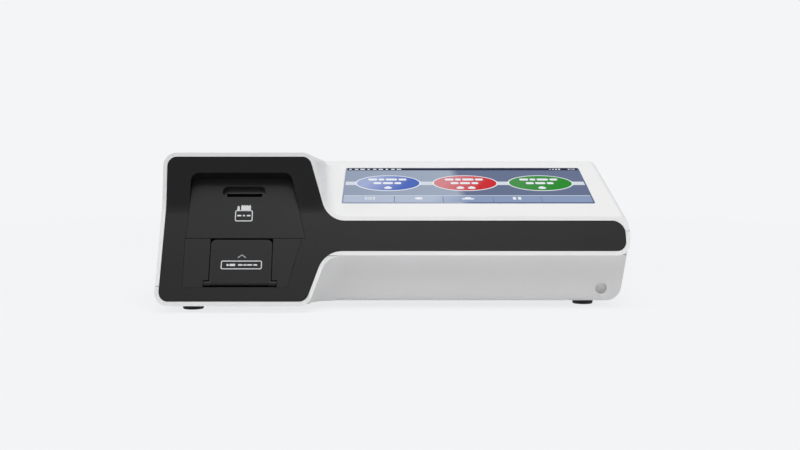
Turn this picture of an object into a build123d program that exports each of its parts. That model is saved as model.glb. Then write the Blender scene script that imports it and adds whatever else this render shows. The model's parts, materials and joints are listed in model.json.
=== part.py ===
from build123d import *

from math import atan2, cos, radians, sin, tan
import os

# Rapid test reader, millimetres.
# +X to the right, -Y towards the user, +Z up, z = 0 on the table, origin under the middle.

# ---------------------------------------------------------------- housing
WIDTH = 276.0
DEPTH = 220.0
HEIGHT = 90.5
FOOT_HEIGHT = 4.0
WALL = 2.5
FRONT_WALL = 4.8          # front wall behind the fascia's pocket and the pocket together
SLOPE = 29.1              # lean of the lower front from upright
UPPER_LEAN = 8.0          # lean of the tower front above the crease
CREASE_Z = 59.0
CREASE_R = 24.0
TOP_FALL = 4.2            # fall of the tower top towards the rear
TOWER_TOP_WIDTH = 88.0
SIDE_DRAFT = 1.6          # how far the left side leans in over its height
FLANK_LEAN = 16.2         # tower's right flank above the deck
FOOT_FLANK_LEAN = 20.4    # tower's right flank below the band
DECK_EDGE_Z = 53.3
DECK_TILT = 12.1
CREST_BACK = 156.0        # crest of the deck, behind the front
REAR_TOP_Z = 64.0
BAND_Z = 31.5             # underside of the band's rim
BAND_DEPTH = 38.0
LOWER_SETBACK = 22.5      # lower right front, behind the front
LOWER_TAPER = 9.1         # right side below the seam
UPPER_DRAFT = 2.8         # right side above the seam
SEAM_Z = 42.0
SEAM_FRONT_Z = 13.5       # seam's height at the tower's front
SEAM_GAP = 0.3
TOWER_EDGE_R = 8.0
DECK_EDGE_R = 5.0
CREST_R = 25.0
REAR_R = 12.0
BOTTOM_R = 9.5
CORNER_R = 11.5           # concave corner where the band's top meets the tower
FOOT_ARCH_R = 12.0        # concave corner under the band
BAND_END_R = 9.8
DECK_COVE_R = 8.0
LOWER_COVE_R = 13.0

# ---------------------------------------------------------------- black front
RIM = 2.5
FASCIA = 2.0
FIT = 0.15                # gap round an inlaid panel
PORT_INSET = 49.0         # centre line of the port, door and tray, from the left side
RECESS_TOP_S = 81.5       # heights with _S run up the sloping front from the bottom edge
RECESS_LEFT = 31.0        # recess edges, from the centre line
RECESS_TOP_RIGHT = 27.9
RECESS_RIGHT = 37.2
RECESS_R = 5.0
RECESS_WALL = 1.6
PLATE_TOP_S = 42.3        # seam between the recess floor and the lower plate
PLATE_BOTTOM_S = 11.2
PLATE_LEFT = 33.2
PLATE_TOP_RIGHT = 35.1
PLATE_BOTTOM_RIGHT = 27.3
PORT_S = 72.4
PORT_WIDTH = 25.5
PORT_HEIGHT = 6.75
PORT_DEPTH = 6.0
PORT_LEDGE = 1.4          # step behind the recess floor, round the card slot
CARD_SLOT = (21.0, 2.2)
WINDOW_MARGIN = 3.6

# ---------------------------------------------------------------- cartridge door
DOOR_WIDTH = 35.6
DOOR_TOP_S = 41.4
DOOR_R = 3.0
HINGE_S = 14.2
HINGE_DEPTH = 1.2
EAR_SPAN = 42.0
EAR_R = 1.5
PIN_R = 0.8
PIN_FIT = 0.06
DOOR_GAP = 0.5
EAR_BLOCK = 3.4

# ---------------------------------------------------------------- tray and its drive
TRAY_TRAVEL = 90.0
TRAY_PARK = 51.0          # tray's front edge behind the hinge line
TRAY_LENGTH = 105.0
TRAY_HALF = 14.0
TRAY_THICK = 8.0
TRAY_RISE = 12.2          # tray's underside over the hinge line
TONGUE = 2.0
TONGUE_THICK = 2.8
POCKET = (23.0, 74.0, 5.0)
RUN = 0.3                 # running gap of tray and rails
RAIL_HALF = 19.0
RAIL_OVER = 1.3           # rails above and below the tray
MODULE = 1.0
PINION_TEETH = 12
RACK_X = 10.75            # rack and pinion, from the centre line
RACK_WIDTH = 4.2
RACK_BAR = 1.95
BACKLASH = 0.3
SHAFT_R = 1.5
MOTOR_R = 10.0
MOTOR_LENGTH = 15.0
BRACKET = 1.5

# ---------------------------------------------------------------- screen
SCREEN_INSET = 93.0       # middle of the glass, from the right side
SCREEN_WIDTH = 154.0
SCREEN_DEPTH = 84.5
SCREEN_S = 27.2           # front edge of the glass, up the deck from its front edge
GLASS = 1.8
GASKET = 0.8
MODULE_SIZE = (160.0, 92.0, 6.0)

# ---------------------------------------------------------------- printer
PRINTER_INSET = 47.0      # middle of the printer, from the left side
LID_FRONT = 30.0          # places along the tower's top, from its middle
LID_BACK = 82.0
LID_HALF = 35.0
LID_THICK = 2.5
LID_GAP = 0.4
ROLL_R = 16.0
ROLL_WIDTH = 57.5
CORE_R = 6.3
ROLL_Y = 57.0
ROLL_Z = -22.5
BUCKET_HALF = 35.0
BUCKET_WALL = 1.6
PLATEN_R = 5.0
PLATEN_Y = 35.6
PLATEN_Z = -8.8
PLATEN_HALF = 28.8
PLATEN_SHAFT_R = 1.5
LUG = 2.2
GEAR_MODULE = 0.6
PLATEN_TEETH = 18
DRIVE_TEETH = 20
GEAR_WIDTH = 2.4
LID_BARREL_R = 4.6
LID_PIN_R = 1.25
BUTTON = (15.0, 8.0)
BUTTON_Y = 20.0
BUTTON_TRAVEL = 1.5

# ---------------------------------------------------------------- base, boards and rear panel
FOOT_PLACES = (20.4, 19.4, 24.9, 41.7, 24.0)  # left, front left, right, front right, rear
FOOT_R = 6.7
FOOT_SEAT = 1.0
BOSS_R = 3.4
BOSS_Z = 16.0
BOSS_INSET = 10.0
SCREW_R = 1.3
BOARD_THICK = 1.6
BOARD_GAP = (110.0, 22.0, 62.0, 7.0)  # board's edges from the left, right, front and rear of the housing
BOARD_Z = 11.0
DIMPLE_INSET = 16.6
DIMPLE_Z = 11.5
DIMPLE_R = 3.4
DIMPLE_DEPTH = 3.2

FRONT = -DEPTH / 2
BACK = DEPTH / 2
LEFT = -WIDTH / 2
RIGHT = WIDTH / 2
PORT_X = LEFT + PORT_INSET
PRINTER_X = LEFT + PRINTER_INSET
SCREEN_X = RIGHT - SCREEN_INSET
LEAN = tan(radians(SLOPE))
FLOOR = FOOT_HEIGHT + WALL


# ---------------------------------------------------------------- places
def front_y(z, depth=0.0):
    """Y of the lower front plane at height z, depth behind it measured square to it."""
    return FRONT + (z - FOOT_HEIGHT) * LEAN + depth / cos(radians(SLOPE))


def slope_plane(depth=0.0):
    """Plane of the lower front: X across, Y up the slope from the bottom edge, Z out of it."""
    c = cos(radians(SLOPE))
    s = sin(radians(SLOPE))
    return Plane((0, FRONT + depth * c, FOOT_HEIGHT - depth * s), x_dir=(1, 0, 0), z_dir=(0, -c, s))


def on_slope(x, s, depth=0.0):
    """World place of a point on the lower front."""
    return slope_plane(depth).from_local_coords(Vector(x, s, 0))


CREASE_Y = front_y(CREASE_Z)
TOP_FRONT_Y = CREASE_Y + (HEIGHT - CREASE_Z) * tan(radians(UPPER_LEAN))


def top_z(y):
    """Height of the tower's top at y."""
    return HEIGHT - (y - TOP_FRONT_Y) * tan(radians(TOP_FALL))


DECK_FRONT_Y = front_y(DECK_EDGE_Z)
DECK_PLANE = Plane(
    (0, DECK_FRONT_Y, DECK_EDGE_Z),
    x_dir=(1, 0, 0),
    z_dir=(0, -sin(radians(DECK_TILT)), cos(radians(DECK_TILT))),
)
TOP_PLANE = Plane(
    (PRINTER_X, 0, top_z(0)),
    x_dir=(1, 0, 0),
    z_dir=(0, sin(radians(TOP_FALL)), cos(radians(TOP_FALL))),
)
CREST_Y = FRONT + CREST_BACK
CREST_Z = DECK_EDGE_Z + (CREST_Y - DECK_FRONT_Y) * tan(radians(DECK_TILT))

TOP_LEFT = LEFT + SIDE_DRAFT
TOP_RIGHT = TOP_LEFT + TOWER_TOP_WIDTH
DECK_CORNER_X = TOP_RIGHT + (HEIGHT - DECK_EDGE_Z) * tan(radians(FLANK_LEAN))
BAND_CORNER_X = DECK_CORNER_X - 1.2
FOOT_CORNER_X = BAND_CORNER_X - (BAND_Z - FOOT_HEIGHT) * tan(radians(FOOT_FLANK_LEAN))

HINGE = on_slope(PORT_X, HINGE_S, HINGE_DEPTH)
TRAY_Z = HINGE.Z + TRAY_RISE
TRAY_FRONT = HINGE.Y + TRAY_PARK
TRAY_BACK = TRAY_FRONT + TRAY_LENGTH
LID_HINGE_Y = LID_BACK - LID_BARREL_R
LID_HINGE_Z = -LID_BARREL_R
TRAY_TOP = TRAY_Z + TRAY_THICK
PITCH_R = MODULE * PINION_TEETH / 2
RACK_PITCH_Z = TRAY_Z - RACK_BAR - 1.25 * MODULE
PINION_Z = RACK_PITCH_Z - PITCH_R
RACK_BACK = TRAY_BACK
RACK_FRONT = RACK_BACK - TRAY_TRAVEL - 6.0
PINION_Y = RACK_FRONT + 3.0
RAIL_Z = (TRAY_Z - RAIL_OVER, TRAY_TOP + RAIL_OVER)
RAIL_FRONT = FRONT + 24.0
RAIL_BACK = TRAY_BACK + 3.0

FEET = (
    (LEFT + FOOT_PLACES[0], FRONT + FOOT_PLACES[1]),
    (RIGHT - FOOT_PLACES[2], FRONT + FOOT_PLACES[3]),
    (LEFT + FOOT_PLACES[0], BACK - FOOT_PLACES[4]),
    (RIGHT - FOOT_PLACES[2], BACK - FOOT_PLACES[4]),
)
BOSSES = (
    (LEFT + BOSS_INSET, FRONT + 62.0),
    (LEFT + BOSS_INSET, BACK - 14.0),
    (LEFT + 98.0, FRONT + 36.0),
    (RIGHT - BOSS_INSET - 3.0, FRONT + 34.0),
    (RIGHT - BOSS_INSET - 3.0, BACK - 34.0),
)
BOARD_X = (LEFT + BOARD_GAP[0], RIGHT - BOARD_GAP[1])
BOARD_Y = (FRONT + BOARD_GAP[2], BACK - BOARD_GAP[3])
SWITCH_X = LEFT + 30.0
INLET_X = LEFT + 62.0
SERIAL_X = BOARD_X[0] + 36.0
USB_X = (BOARD_X[0] + 70.0, BOARD_X[0] + 90.0)
LAN_X = BOARD_X[0] + 118.0
DIMPLE_X = RIGHT - DIMPLE_INSET
SPEAKER = (RIGHT - 52.0, FRONT + 46.0)


# ---------------------------------------------------------------- small shape helpers
def block(x, y, z):
    """Box between the low and high ends given for each axis."""
    size = (x[1] - x[0], y[1] - y[0], z[1] - z[0])
    middle = ((x[0] + x[1]) / 2, (y[0] + y[1]) / 2, (z[0] + z[1]) / 2)
    return Pos(*middle) * Box(*size)


def outline(points, radii):
    """Flat face inside a closed outline whose corners have the given radii."""
    return make_face(FilletPolyline(*points, radius=radii, close=True))


def prism_y(face, y):
    """Face drawn in X and Z, drawn out from y[0] to y[1]."""
    solid = extrude(Plane.XZ * face, amount=-(y[1] - y[0]))
    return Pos(0, y[0], 0) * solid


def prism_x(face, x):
    """Face drawn in Y and Z, drawn out from x[0] to x[1]."""
    solid = extrude(Plane.YZ * face, amount=x[1] - x[0])
    return Pos(x[0], 0, 0) * solid


def rod_x(radius, x, y, z):
    """Round bar along X from x[0] to x[1]."""
    return Pos((x[0] + x[1]) / 2, y, z) * Rot(0, 90, 0) * Cylinder(radius, x[1] - x[0])


def on_front(face, depth, thick):
    """Face drawn on the lower front, sunk by depth and drawn back by thick."""
    return extrude(slope_plane(depth) * face, amount=-thick)


def group(shapes):
    """Several solids of one node."""
    solids = [solid for shape in shapes for solid in shape.solids()]
    return Compound(children=solids)


def cove(corner, along, side_a, side_b, radius, length):
    """Filler in the concave corner between two planes, with a round hollow of the given radius."""
    a = Vector(*side_a).normalized()
    b = Vector(*side_b).normalized()
    corner = Vector(*corner)
    half = radians(a.get_angle(b)) / 2
    middle = (a + b).normalized()
    reach = radius / tan(half)
    start = corner + a * reach
    end = corner + b * reach
    waist = corner + middle * (radius / sin(half) - radius)
    root = corner - middle * 1.2
    edges = [Line(start, root), Line(root, end), ThreePointArc(end, waist, start)]
    return extrude(make_face(edges), amount=length, dir=Vector(*along).normalized())


# ---------------------------------------------------------------- housing envelope
def side_profile(inset, front_wall):
    """Side view of the tower in Y and Z, drawn in by inset, and by front_wall at the front."""
    points = [
        (FRONT, FOOT_HEIGHT),
        (CREASE_Y, CREASE_Z),
        (TOP_FRONT_Y, HEIGHT),
        (BACK, top_z(BACK)),
        (BACK, FOOT_HEIGHT),
    ]
    return inset_profile(points, [0, CREASE_R, 0, 0, 0], inset, front_wall)


def deck_profile(inset, front_wall):
    """Side view of the deck in Y and Z, from the seam up."""
    low = SEAM_Z - 2 * WALL
    points = [
        (front_y(low), low),
        (DECK_FRONT_Y, DECK_EDGE_Z),
        (CREST_Y, CREST_Z),
        (BACK, REAR_TOP_Z),
        (BACK, low),
    ]
    return inset_profile(points, [0, 0, CREST_R, REAR_R, 0], inset, front_wall)


def inset_profile(points, radii, inset, front_wall):
    """Profile drawn in all round, and further at its front."""
    face = outline(points, radii)
    if not inset:
        return face
    shift = front_wall / cos(radians(SLOPE))
    return offset(face, -inset, kind=Kind.INTERSECTION) & Pos(shift, 0) * face


def front_outline():
    """Front view of the white rim in X and Z: tower and band in one outline."""
    points = [
        (LEFT, FOOT_HEIGHT),
        (TOP_LEFT, HEIGHT),
        (TOP_RIGHT, HEIGHT),
        (DECK_CORNER_X, DECK_EDGE_Z),
        (RIGHT - 0.2, DECK_EDGE_Z),
        (RIGHT - 0.2, BAND_Z),
        (BAND_CORNER_X, BAND_Z),
        (FOOT_CORNER_X, FOOT_HEIGHT),
    ]
    edge = TOWER_EDGE_R
    radii = [edge, edge, edge, CORNER_R, BAND_END_R, 8.0, FOOT_ARCH_R, edge]
    return outline(points, radii)


def tower_outline(inset, left_radius, right_radius):
    """Front view of the tower alone in X and Z, square at the top corners."""
    points = [
        (LEFT, FOOT_HEIGHT),
        (TOP_LEFT, HEIGHT),
        (TOP_RIGHT, HEIGHT),
        (DECK_CORNER_X, DECK_EDGE_Z),
        (BAND_CORNER_X, BAND_Z),
        (FOOT_CORNER_X, FOOT_HEIGHT),
    ]
    face = outline(points, [left_radius, 0, 0, 0, 0, right_radius])
    return offset(face, -inset, kind=Kind.INTERSECTION) if inset else face


def right_outline(inset):
    """Front view of everything right of the tower, in X and Z."""
    drop = (SEAM_Z - FOOT_HEIGHT) * tan(radians(LOWER_TAPER))
    rise = (HEIGHT - SEAM_Z) * tan(radians(UPPER_DRAFT))
    points = [
        (TOP_RIGHT - 20.0, FOOT_HEIGHT),
        (RIGHT - drop, FOOT_HEIGHT),
        (RIGHT, SEAM_Z),
        (RIGHT - rise, HEIGHT),
        (TOP_RIGHT - 20.0, HEIGHT),
    ]
    face = outline(points, [0, BOTTOM_R, 6.0, 0, 0])
    return offset(face, -inset, kind=Kind.INTERSECTION) if inset else face


def outer_edges(solid, picked):
    """Edges of a solid whose middle and direction pass the test given."""
    return [edge for edge in solid.edges() if picked(edge @ 0.5, edge % 0.5)]


def tower_block(inset=0.0):
    """Tower, with rounded edges along its top and down its rear corner."""

    def rounded(middle, way):
        left = middle.X < TOP_LEFT + 2 * WALL
        right = TOP_RIGHT - 2 * WALL < middle.X < TOP_RIGHT + 2 * WALL
        top = middle.Z > 70.0 and abs(way.Y) > 0.9 and (left or right)
        rear = middle.Y > BACK - 2 * WALL and (left and abs(way.Z) > 0.9 or middle.Z > 75.0)
        return top or rear

    solid = prism_y(tower_outline(inset, 0, 0), (FRONT - 1, BACK + 1))
    solid &= prism_x(side_profile(inset, FRONT_WALL), (LEFT - 1, RIGHT))
    solid = fillet(outer_edges(solid, rounded), TOWER_EDGE_R - inset)
    split = FRONT + LOWER_SETBACK - LOWER_COVE_R
    square = tower_outline(inset, 0, 0)
    solid -= prism_y(square - tower_outline(inset, TOWER_EDGE_R, TOWER_EDGE_R), (FRONT - 1, split))
    return solid - prism_y(square - tower_outline(inset, TOWER_EDGE_R, 0), (split, BACK + 1))


def right_block(profile, inset):
    """Body right of the tower with the given side view."""
    solid = prism_y(right_outline(inset), (FRONT - 1, BACK + 1))
    return solid & prism_x(profile, (TOP_RIGHT - 21, RIGHT + 1))


def deck_block(inset=0.0):
    """Deck, with a rounded right edge."""

    def rounded(middle, way):
        right = middle.X > RIGHT - 4 * WALL and abs(way.X) < 0.5
        return right and middle.Z > SEAM_Z + 9 and middle.Y > DECK_FRONT_Y + 5

    solid = right_block(deck_profile(inset, FRONT_WALL), inset)
    return fillet(outer_edges(solid, rounded), DECK_EDGE_R - inset)


def lower_block(inset=0.0):
    """Lower housing right of the tower, set back under the band."""
    front = FRONT + LOWER_SETBACK
    points = [(front, FOOT_HEIGHT), (front, SEAM_Z + 4), (BACK, SEAM_Z + 4), (BACK, FOOT_HEIGHT)]
    face = outline(points, [2.0, 0, 0, 3.0])
    if inset:
        face = offset(face, -inset, kind=Kind.INTERSECTION)
        face += Pos((front + BACK) / 2, SEAM_Z) * Rectangle(DEPTH - LOWER_SETBACK - 2 * inset, 12)
    return right_block(face, inset)


def band_block():
    """Band that runs right from the tower's front, with its two concave corners."""
    reach = FOOT_ARCH_R * 1.2
    near_band = Rectangle(2 * WIDTH, DECK_EDGE_Z - BAND_Z + 2 * reach)
    face = front_outline() & Pos(WIDTH + TOP_RIGHT, (DECK_EDGE_Z + BAND_Z) / 2) * near_band
    solid = prism_y(face, (FRONT - 1, FRONT + BAND_DEPTH)) & prism_y(right_outline(0), (FRONT - 1, BACK))
    return solid & prism_x(side_profile(0, 0), (LEFT - 1, RIGHT + 1))


def flank_cove(start, tilt, length):
    """Concave round where the tower's right flank meets a surface that rises by tilt."""
    lean = radians(FLANK_LEAN)
    along = Vector(-sin(lean) * sin(tilt), cos(lean) * cos(tilt), cos(lean) * sin(tilt)).normalized()
    flank_up = Vector(-sin(lean), 0, cos(lean))
    up = flank_up - along * flank_up.dot(along)
    out = Vector(1, 0, 0) - along * along.X
    corner = Vector(DECK_CORNER_X - (start[1] - DECK_EDGE_Z) * tan(lean), *start)
    return cove(corner, along, up, out, DECK_COVE_R, length / along.Y)


def housing_coves():
    """Concave rounds: tower to deck and rear, and tower to the lower right front."""
    margin = 14.0
    overlap = 2.4
    tilt = radians(DECK_TILT)
    fall = -atan2(CREST_Z - REAR_TOP_Z, BACK - CREST_Y)
    front = (DECK_FRONT_Y - margin, DECK_EDGE_Z - margin * tan(tilt))
    rear = (CREST_Y - overlap, CREST_Z - overlap * tan(fall))
    deck = flank_cove(front, tilt, CREST_Y - DECK_FRONT_Y + margin + overlap)
    deck += flank_cove(rear, fall, BACK - CREST_Y)
    limit = offset(side_profile(0, 0), -TOWER_EDGE_R / 2, kind=Kind.INTERSECTION)
    limit += Pos(-TOWER_EDGE_R, 0) * limit & side_profile(0, 0)
    deck &= prism_x(limit, (LEFT - 1, RIGHT + 1))

    lean = radians(FOOT_FLANK_LEAN)
    along = Vector(sin(lean), 0, cos(lean))
    corner = Vector(FOOT_CORNER_X, FRONT + LOWER_SETBACK, FOOT_HEIGHT) - along * 8.0
    length = (BAND_Z - FOOT_HEIGHT) / cos(lean) + 14.0
    out = Vector(cos(lean), 0, -sin(lean))
    foot = cove(corner, along, (0, -1, 0), out, LOWER_COVE_R, length)
    foot &= block((LEFT, RIGHT), (FRONT, BACK), (FOOT_HEIGHT, BAND_Z + 3))
    foot &= prism_x(side_profile(0, 0), (LEFT - 1, RIGHT + 1))
    return group([deck]), group([foot])


def envelope():
    """Outside of the closed housing."""
    solid = tower_block() + deck_block() + lower_block() + band_block()
    for filler in housing_coves():
        solid += filler
    return solid


def cavity():
    """Room inside the housing."""
    return tower_block(WALL) + deck_block(WALL) + lower_block(WALL)


# ---------------------------------------------------------------- front outlines, on the slope
def recess_face():
    """Outline of the recess in the tower's front."""
    low = PLATE_TOP_S
    points = [
        (PORT_X - RECESS_LEFT - 2.0, low),
        (PORT_X - RECESS_LEFT, RECESS_TOP_S),
        (PORT_X + RECESS_TOP_RIGHT, RECESS_TOP_S),
        (PORT_X + RECESS_RIGHT, low),
    ]
    return outline(points, [0, RECESS_R, RECESS_R, 0])


def plate_face():
    """Outline of the flush plate round the cartridge door."""
    points = [
        (PORT_X - PLATE_LEFT, PLATE_BOTTOM_S),
        (PORT_X - PLATE_LEFT, PLATE_TOP_S),
        (PORT_X + PLATE_TOP_RIGHT, PLATE_TOP_S),
        (PORT_X + PLATE_BOTTOM_RIGHT, PLATE_BOTTOM_S),
    ]
    return outline(points, [1.0, 0, 0, 1.0])


def port_face(grow=0.0):
    """Stadium outline of the chip port."""
    return Pos(PORT_X, PORT_S) * SlotOverall(PORT_WIDTH + 2 * grow, PORT_HEIGHT + 2 * grow)


def fascia_pocket():
    """Room for the fascia in the housing's front."""
    face = offset(front_outline(), FIT - RIM)
    return prism_y(face, (FRONT - 2, FRONT + BAND_DEPTH)) & front_band(-2.0, FASCIA)


def front_band(near, far):
    """Layer that follows the front's side view, from near to far behind it."""
    rise = HEIGHT + 6.0 - CREASE_Z
    up = (CREASE_Y + rise * tan(radians(UPPER_LEAN)), HEIGHT + 6.0)
    low = (front_y(FOOT_HEIGHT - 4.0), FOOT_HEIGHT - 4.0)
    c = cos(radians(SLOPE))
    line = [low, (CREASE_Y, CREASE_Z), up]
    points = [(y + near / c, z) for y, z in line] + [(y + far / c, z) for y, z in reversed(line)]
    return prism_x(outline(points, [0, CREASE_R, 0, 0, CREASE_R, 0]), (LEFT - 1, RIGHT + 1))


def front_window():
    """Opening in the housing's front wall behind the recess and the door."""
    upper = offset(recess_face(), WINDOW_MARGIN)
    lower = offset(plate_face(), WINDOW_MARGIN)
    return on_front(upper + lower, -12.0, 12.0 + FRONT_WALL + 1.0)


# ---------------------------------------------------------------- housing shells
def base_zone():
    """Room that the lower shell takes of the housing."""
    seam = [
        (FRONT - 5, FOOT_HEIGHT - 1),
        (FRONT - 5, SEAM_FRONT_Z),
        (BACK + 5, SEAM_Z),
        (BACK + 5, FOOT_HEIGHT - 1),
    ]
    left = prism_x(outline(seam, [0, 0, 0, 0]), (LEFT - 1, TOP_RIGHT))
    split = FRONT + LOWER_SETBACK - LOWER_COVE_R
    right = block((TOP_RIGHT, RIGHT + 1), (FRONT + BAND_DEPTH, BACK + 5), (FOOT_HEIGHT - 1, SEAM_Z))
    right += block((TOP_RIGHT, RIGHT + 1), (split, BACK + 5), (FOOT_HEIGHT - 1, BAND_Z))
    flank = prism_y(tower_outline(0, 0, 0), (FRONT, FRONT + BAND_DEPTH))
    return left + (right - (flank - left))


def glass_face(grow=0.0):
    """Outline of the screen glass on the deck."""
    middle = Pos(SCREEN_X, SCREEN_S + SCREEN_DEPTH / 2)
    return middle * RectangleRounded(SCREEN_WIDTH + 2 * grow, SCREEN_DEPTH + 2 * grow, 1.5)


def on_deck(face, depth, thick):
    """Face drawn on the deck, sunk by depth and drawn down by thick."""
    return extrude(DECK_PLANE * Pos(0, 0, -depth) * face, amount=-thick)


def on_top(shape):
    """Shape of the printer, drawn in the frame of the tower's top, put in place."""
    return TOP_PLANE.location * shape


def lid_face(grow=0.0):
    """Outline of the printer lid on the tower's top."""
    half = LID_HALF + grow
    front = LID_FRONT - grow
    back = LID_BACK + grow
    points = [(-half, front), (half, front), (half, back), (-half, back)]
    return outline(points, [3.0 + grow, 3.0 + grow, 0.5 + grow, 0.5 + grow])


def top_openings():
    """Cut-outs of the upper shell: screen, printer, release button."""
    screen = on_deck(glass_face(FIT), -2.0, WALL + 5.0)
    printer = on_top(Pos(0, 0, -12) * extrude(lid_face(LID_GAP), amount=20))
    button = on_top(Pos(0, BUTTON_Y, -6) * extrude(button_face(RUN), amount=12))
    return [screen, printer, button]


def button_face(grow=0.0):
    """Outline of the printer's release button."""
    return RectangleRounded(BUTTON[0] + 2 * grow, BUTTON[1] + 2 * grow, 2.0)


def rear_openings():
    """Cut-outs of the rear panel, one for each socket and the switch."""
    y = (BACK - 2 * WALL, BACK + 1)
    cuts = [
        block((SWITCH_X - 9.6, SWITCH_X + 9.6), y, (FLOOR + 10, FLOOR + 23)),
        rod_y(5.2, INLET_X, FLOOR + 14, y),
        block((SERIAL_X - 9.0, SERIAL_X + 9.0), y, (BOARD_Z + 4.2, BOARD_Z + 12.6)),
        block((LAN_X - 8.2, LAN_X + 8.2), y, (BOARD_Z + 1.4, BOARD_Z + 15.4)),
    ]
    cuts += [block((x - 7.0, x + 7.0), y, (BOARD_Z + 1.5, BOARD_Z + 8.9)) for x in USB_X]
    cuts += [rod_y(1.7, SERIAL_X + side * 12.5, BOARD_Z + 8.4, y) for side in (-1, 1)]
    return cuts


def rod_y(radius, x, z, y):
    """Round bar along Y from y[0] to y[1]."""
    return Pos(x, (y[0] + y[1]) / 2, z) * Rot(90, 0, 0) * Cylinder(radius, y[1] - y[0])


def vents():
    """Slots through the rear wall and the floor of the lower shell."""
    rear = [
        block((x - 1.2, x + 1.2), (BACK - 2 * WALL, BACK + 1), (FLOOR + 6, FLOOR + 24))
        for x in [BOARD_X[0] - 22.0 + 6.0 * i for i in range(6)]
    ]
    floor = [
        block((x - 1.2, x + 1.2), (-20.0, 20.0), (FOOT_HEIGHT - 1, FLOOR + 1))
        for x in [BOARD_X[0] + 68.0 + 6.0 * i for i in range(9)]
    ]
    return rear + floor


def dimple():
    """Small blind round recess, low on the right of the lower front."""
    front = FRONT + LOWER_SETBACK
    return rod_y(DIMPLE_R, DIMPLE_X, DIMPLE_Z, (front - 1, front + DIMPLE_DEPTH))


def boss(x, y, low, high):
    """Screw boss with a pilot hole up its axis."""
    tube = Pos(x, y, (low + high) / 2) * Cylinder(BOSS_R, high - low)
    hole = Pos(x, y, (low + high) / 2) * Cylinder(SCREW_R - 0.2, high - low)
    return tube - hole


def shells():
    """Lower and upper housing shells."""
    outside = envelope()
    shell = outside - cavity() - fascia_pocket() - front_window()
    zone = base_zone()
    base = shell & Pos(0, 0, -SEAM_GAP) * zone
    top = shell - zone
    for cut in top_openings():
        top -= cut
    for x, y in BOSSES:
        top += boss(x, y, BOSS_Z, HEIGHT) & outside

    base += base_fittings()
    for cut in rear_openings() + vents() + screw_holes() + foot_seats():
        base -= cut
    return base - dimple(), top


def base_fittings():
    """Bosses, stand-offs and ribs on the floor of the lower shell."""
    parts = [Pos(x, y, (FLOOR + BOSS_Z) / 2) * Cylinder(BOSS_R, BOSS_Z - FLOOR) for x, y in BOSSES]
    front = FRONT + LOWER_SETBACK + WALL
    parts.append(rod_y(DIMPLE_R + WALL, DIMPLE_X, DIMPLE_Z, (front - 0.5, front + DIMPLE_DEPTH)))
    for x in (BOARD_X[0] + 5, BOARD_X[1] - 5):
        for y in (BOARD_Y[0] + 5, BOARD_Y[1] - 22):
            parts.append(boss(x, y, FLOOR - 0.5, BOARD_Z))
    return parts


def screw_holes():
    """Counterbored holes for the case screws."""
    cuts = []
    for x, y in BOSSES:
        cuts.append(Pos(x, y, BOSS_Z / 2) * Cylinder(SCREW_R + 0.3, 2 * BOSS_Z))
        cuts.append(Pos(x, y, FOOT_HEIGHT) * Cylinder(2.7, 6.0))
    return cuts


def foot_seats():
    """Shallow round seats for the feet."""
    depth = 2 * FOOT_SEAT
    return [Pos(x, y, FOOT_HEIGHT) * Cylinder(FOOT_R + 0.1, depth) for x, y in FEET]


def rubber_feet():
    """Four rubber feet with a hollow in the middle."""
    points = [
        (2.6, 0),
        (FOOT_R - 0.8, 0),
        (FOOT_R, FOOT_HEIGHT - 0.4),
        (FOOT_R, FOOT_HEIGHT + FOOT_SEAT),
        (0, FOOT_HEIGHT + FOOT_SEAT),
        (0, 1.6),
        (2.6, 1.6),
    ]
    foot = revolve(Plane.XZ * make_face(Polyline(*points, close=True)), Axis.Z)
    return group([Pos(x, y, 0) * foot for x, y in FEET])


def case_screws():
    """Screws that hold the two shells together."""
    length = BOSS_Z + 8.0
    screw = Pos(0, 0, FOOT_HEIGHT + 1.9) * Cylinder(2.5, 1.8)
    screw += Pos(0, 0, FOOT_HEIGHT + 1 + length / 2) * Cylinder(SCREW_R - 0.2, length)
    screw -= Pos(0, 0, FOOT_HEIGHT + 1.2) * Box(3.0, 0.6, 0.8)
    screw -= Pos(0, 0, FOOT_HEIGHT + 1.2) * Box(0.6, 3.0, 0.8)
    return group([Pos(x, y, 0) * screw for x, y in BOSSES])


# ---------------------------------------------------------------- black front pieces
def front_fascia():
    """Black front of tower and band in one moulding, with the recess's walls."""
    face = offset(front_outline(), -RIM)
    skin = prism_y(face, (FRONT - 2, FRONT + BAND_DEPTH)) & front_band(0.0, FASCIA)
    depth = FASCIA + 1.5
    walls = on_front(offset(recess_face(), RECESS_WALL), -12.0, 12.0 + depth)
    walls &= prism_x(side_profile(0, 0), (LEFT, RIGHT))
    opening = on_front(recess_face() + plate_face(), -12.0, 30.0)
    return (skin + walls) - opening


def chip_panel():
    """Floor of the recess, with the chip port through it."""
    face = offset(recess_face(), -FIT) - Pos(0, PLATE_TOP_S) * Rectangle(WIDTH * 2, 2 * FIT)
    panel = on_front(face - port_face(), 0.0, FASCIA)
    for side in (-1, 1):
        post = Pos(PORT_X + side * 15.5, PORT_S - 5.0) * Circle(2.0)
        panel += on_front(post, FASCIA, PORT_DEPTH)
    return panel


def chip_port():
    """Bezel behind the port: a sunk stadium that narrows to the card slot."""
    body = on_front(port_face(2.0), FASCIA, PORT_DEPTH)
    body -= on_front(port_face(), FASCIA, PORT_LEDGE)
    slot = Pos(PORT_X, PORT_S - 0.8) * Rectangle(*CARD_SLOT)
    return body - on_front(slot, FASCIA, 12.0)


def chip_socket():
    """Card socket behind the port's slot."""
    face = Pos(PORT_X, PORT_S - 0.8) * Rectangle(CARD_SLOT[0] + 5.0, 6.0)
    start = FASCIA + PORT_DEPTH
    body = on_front(face, start, 17.0)
    slot = Pos(PORT_X, PORT_S - 0.8) * Rectangle(*CARD_SLOT)
    return body - on_front(slot, start, 14.0)


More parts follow.
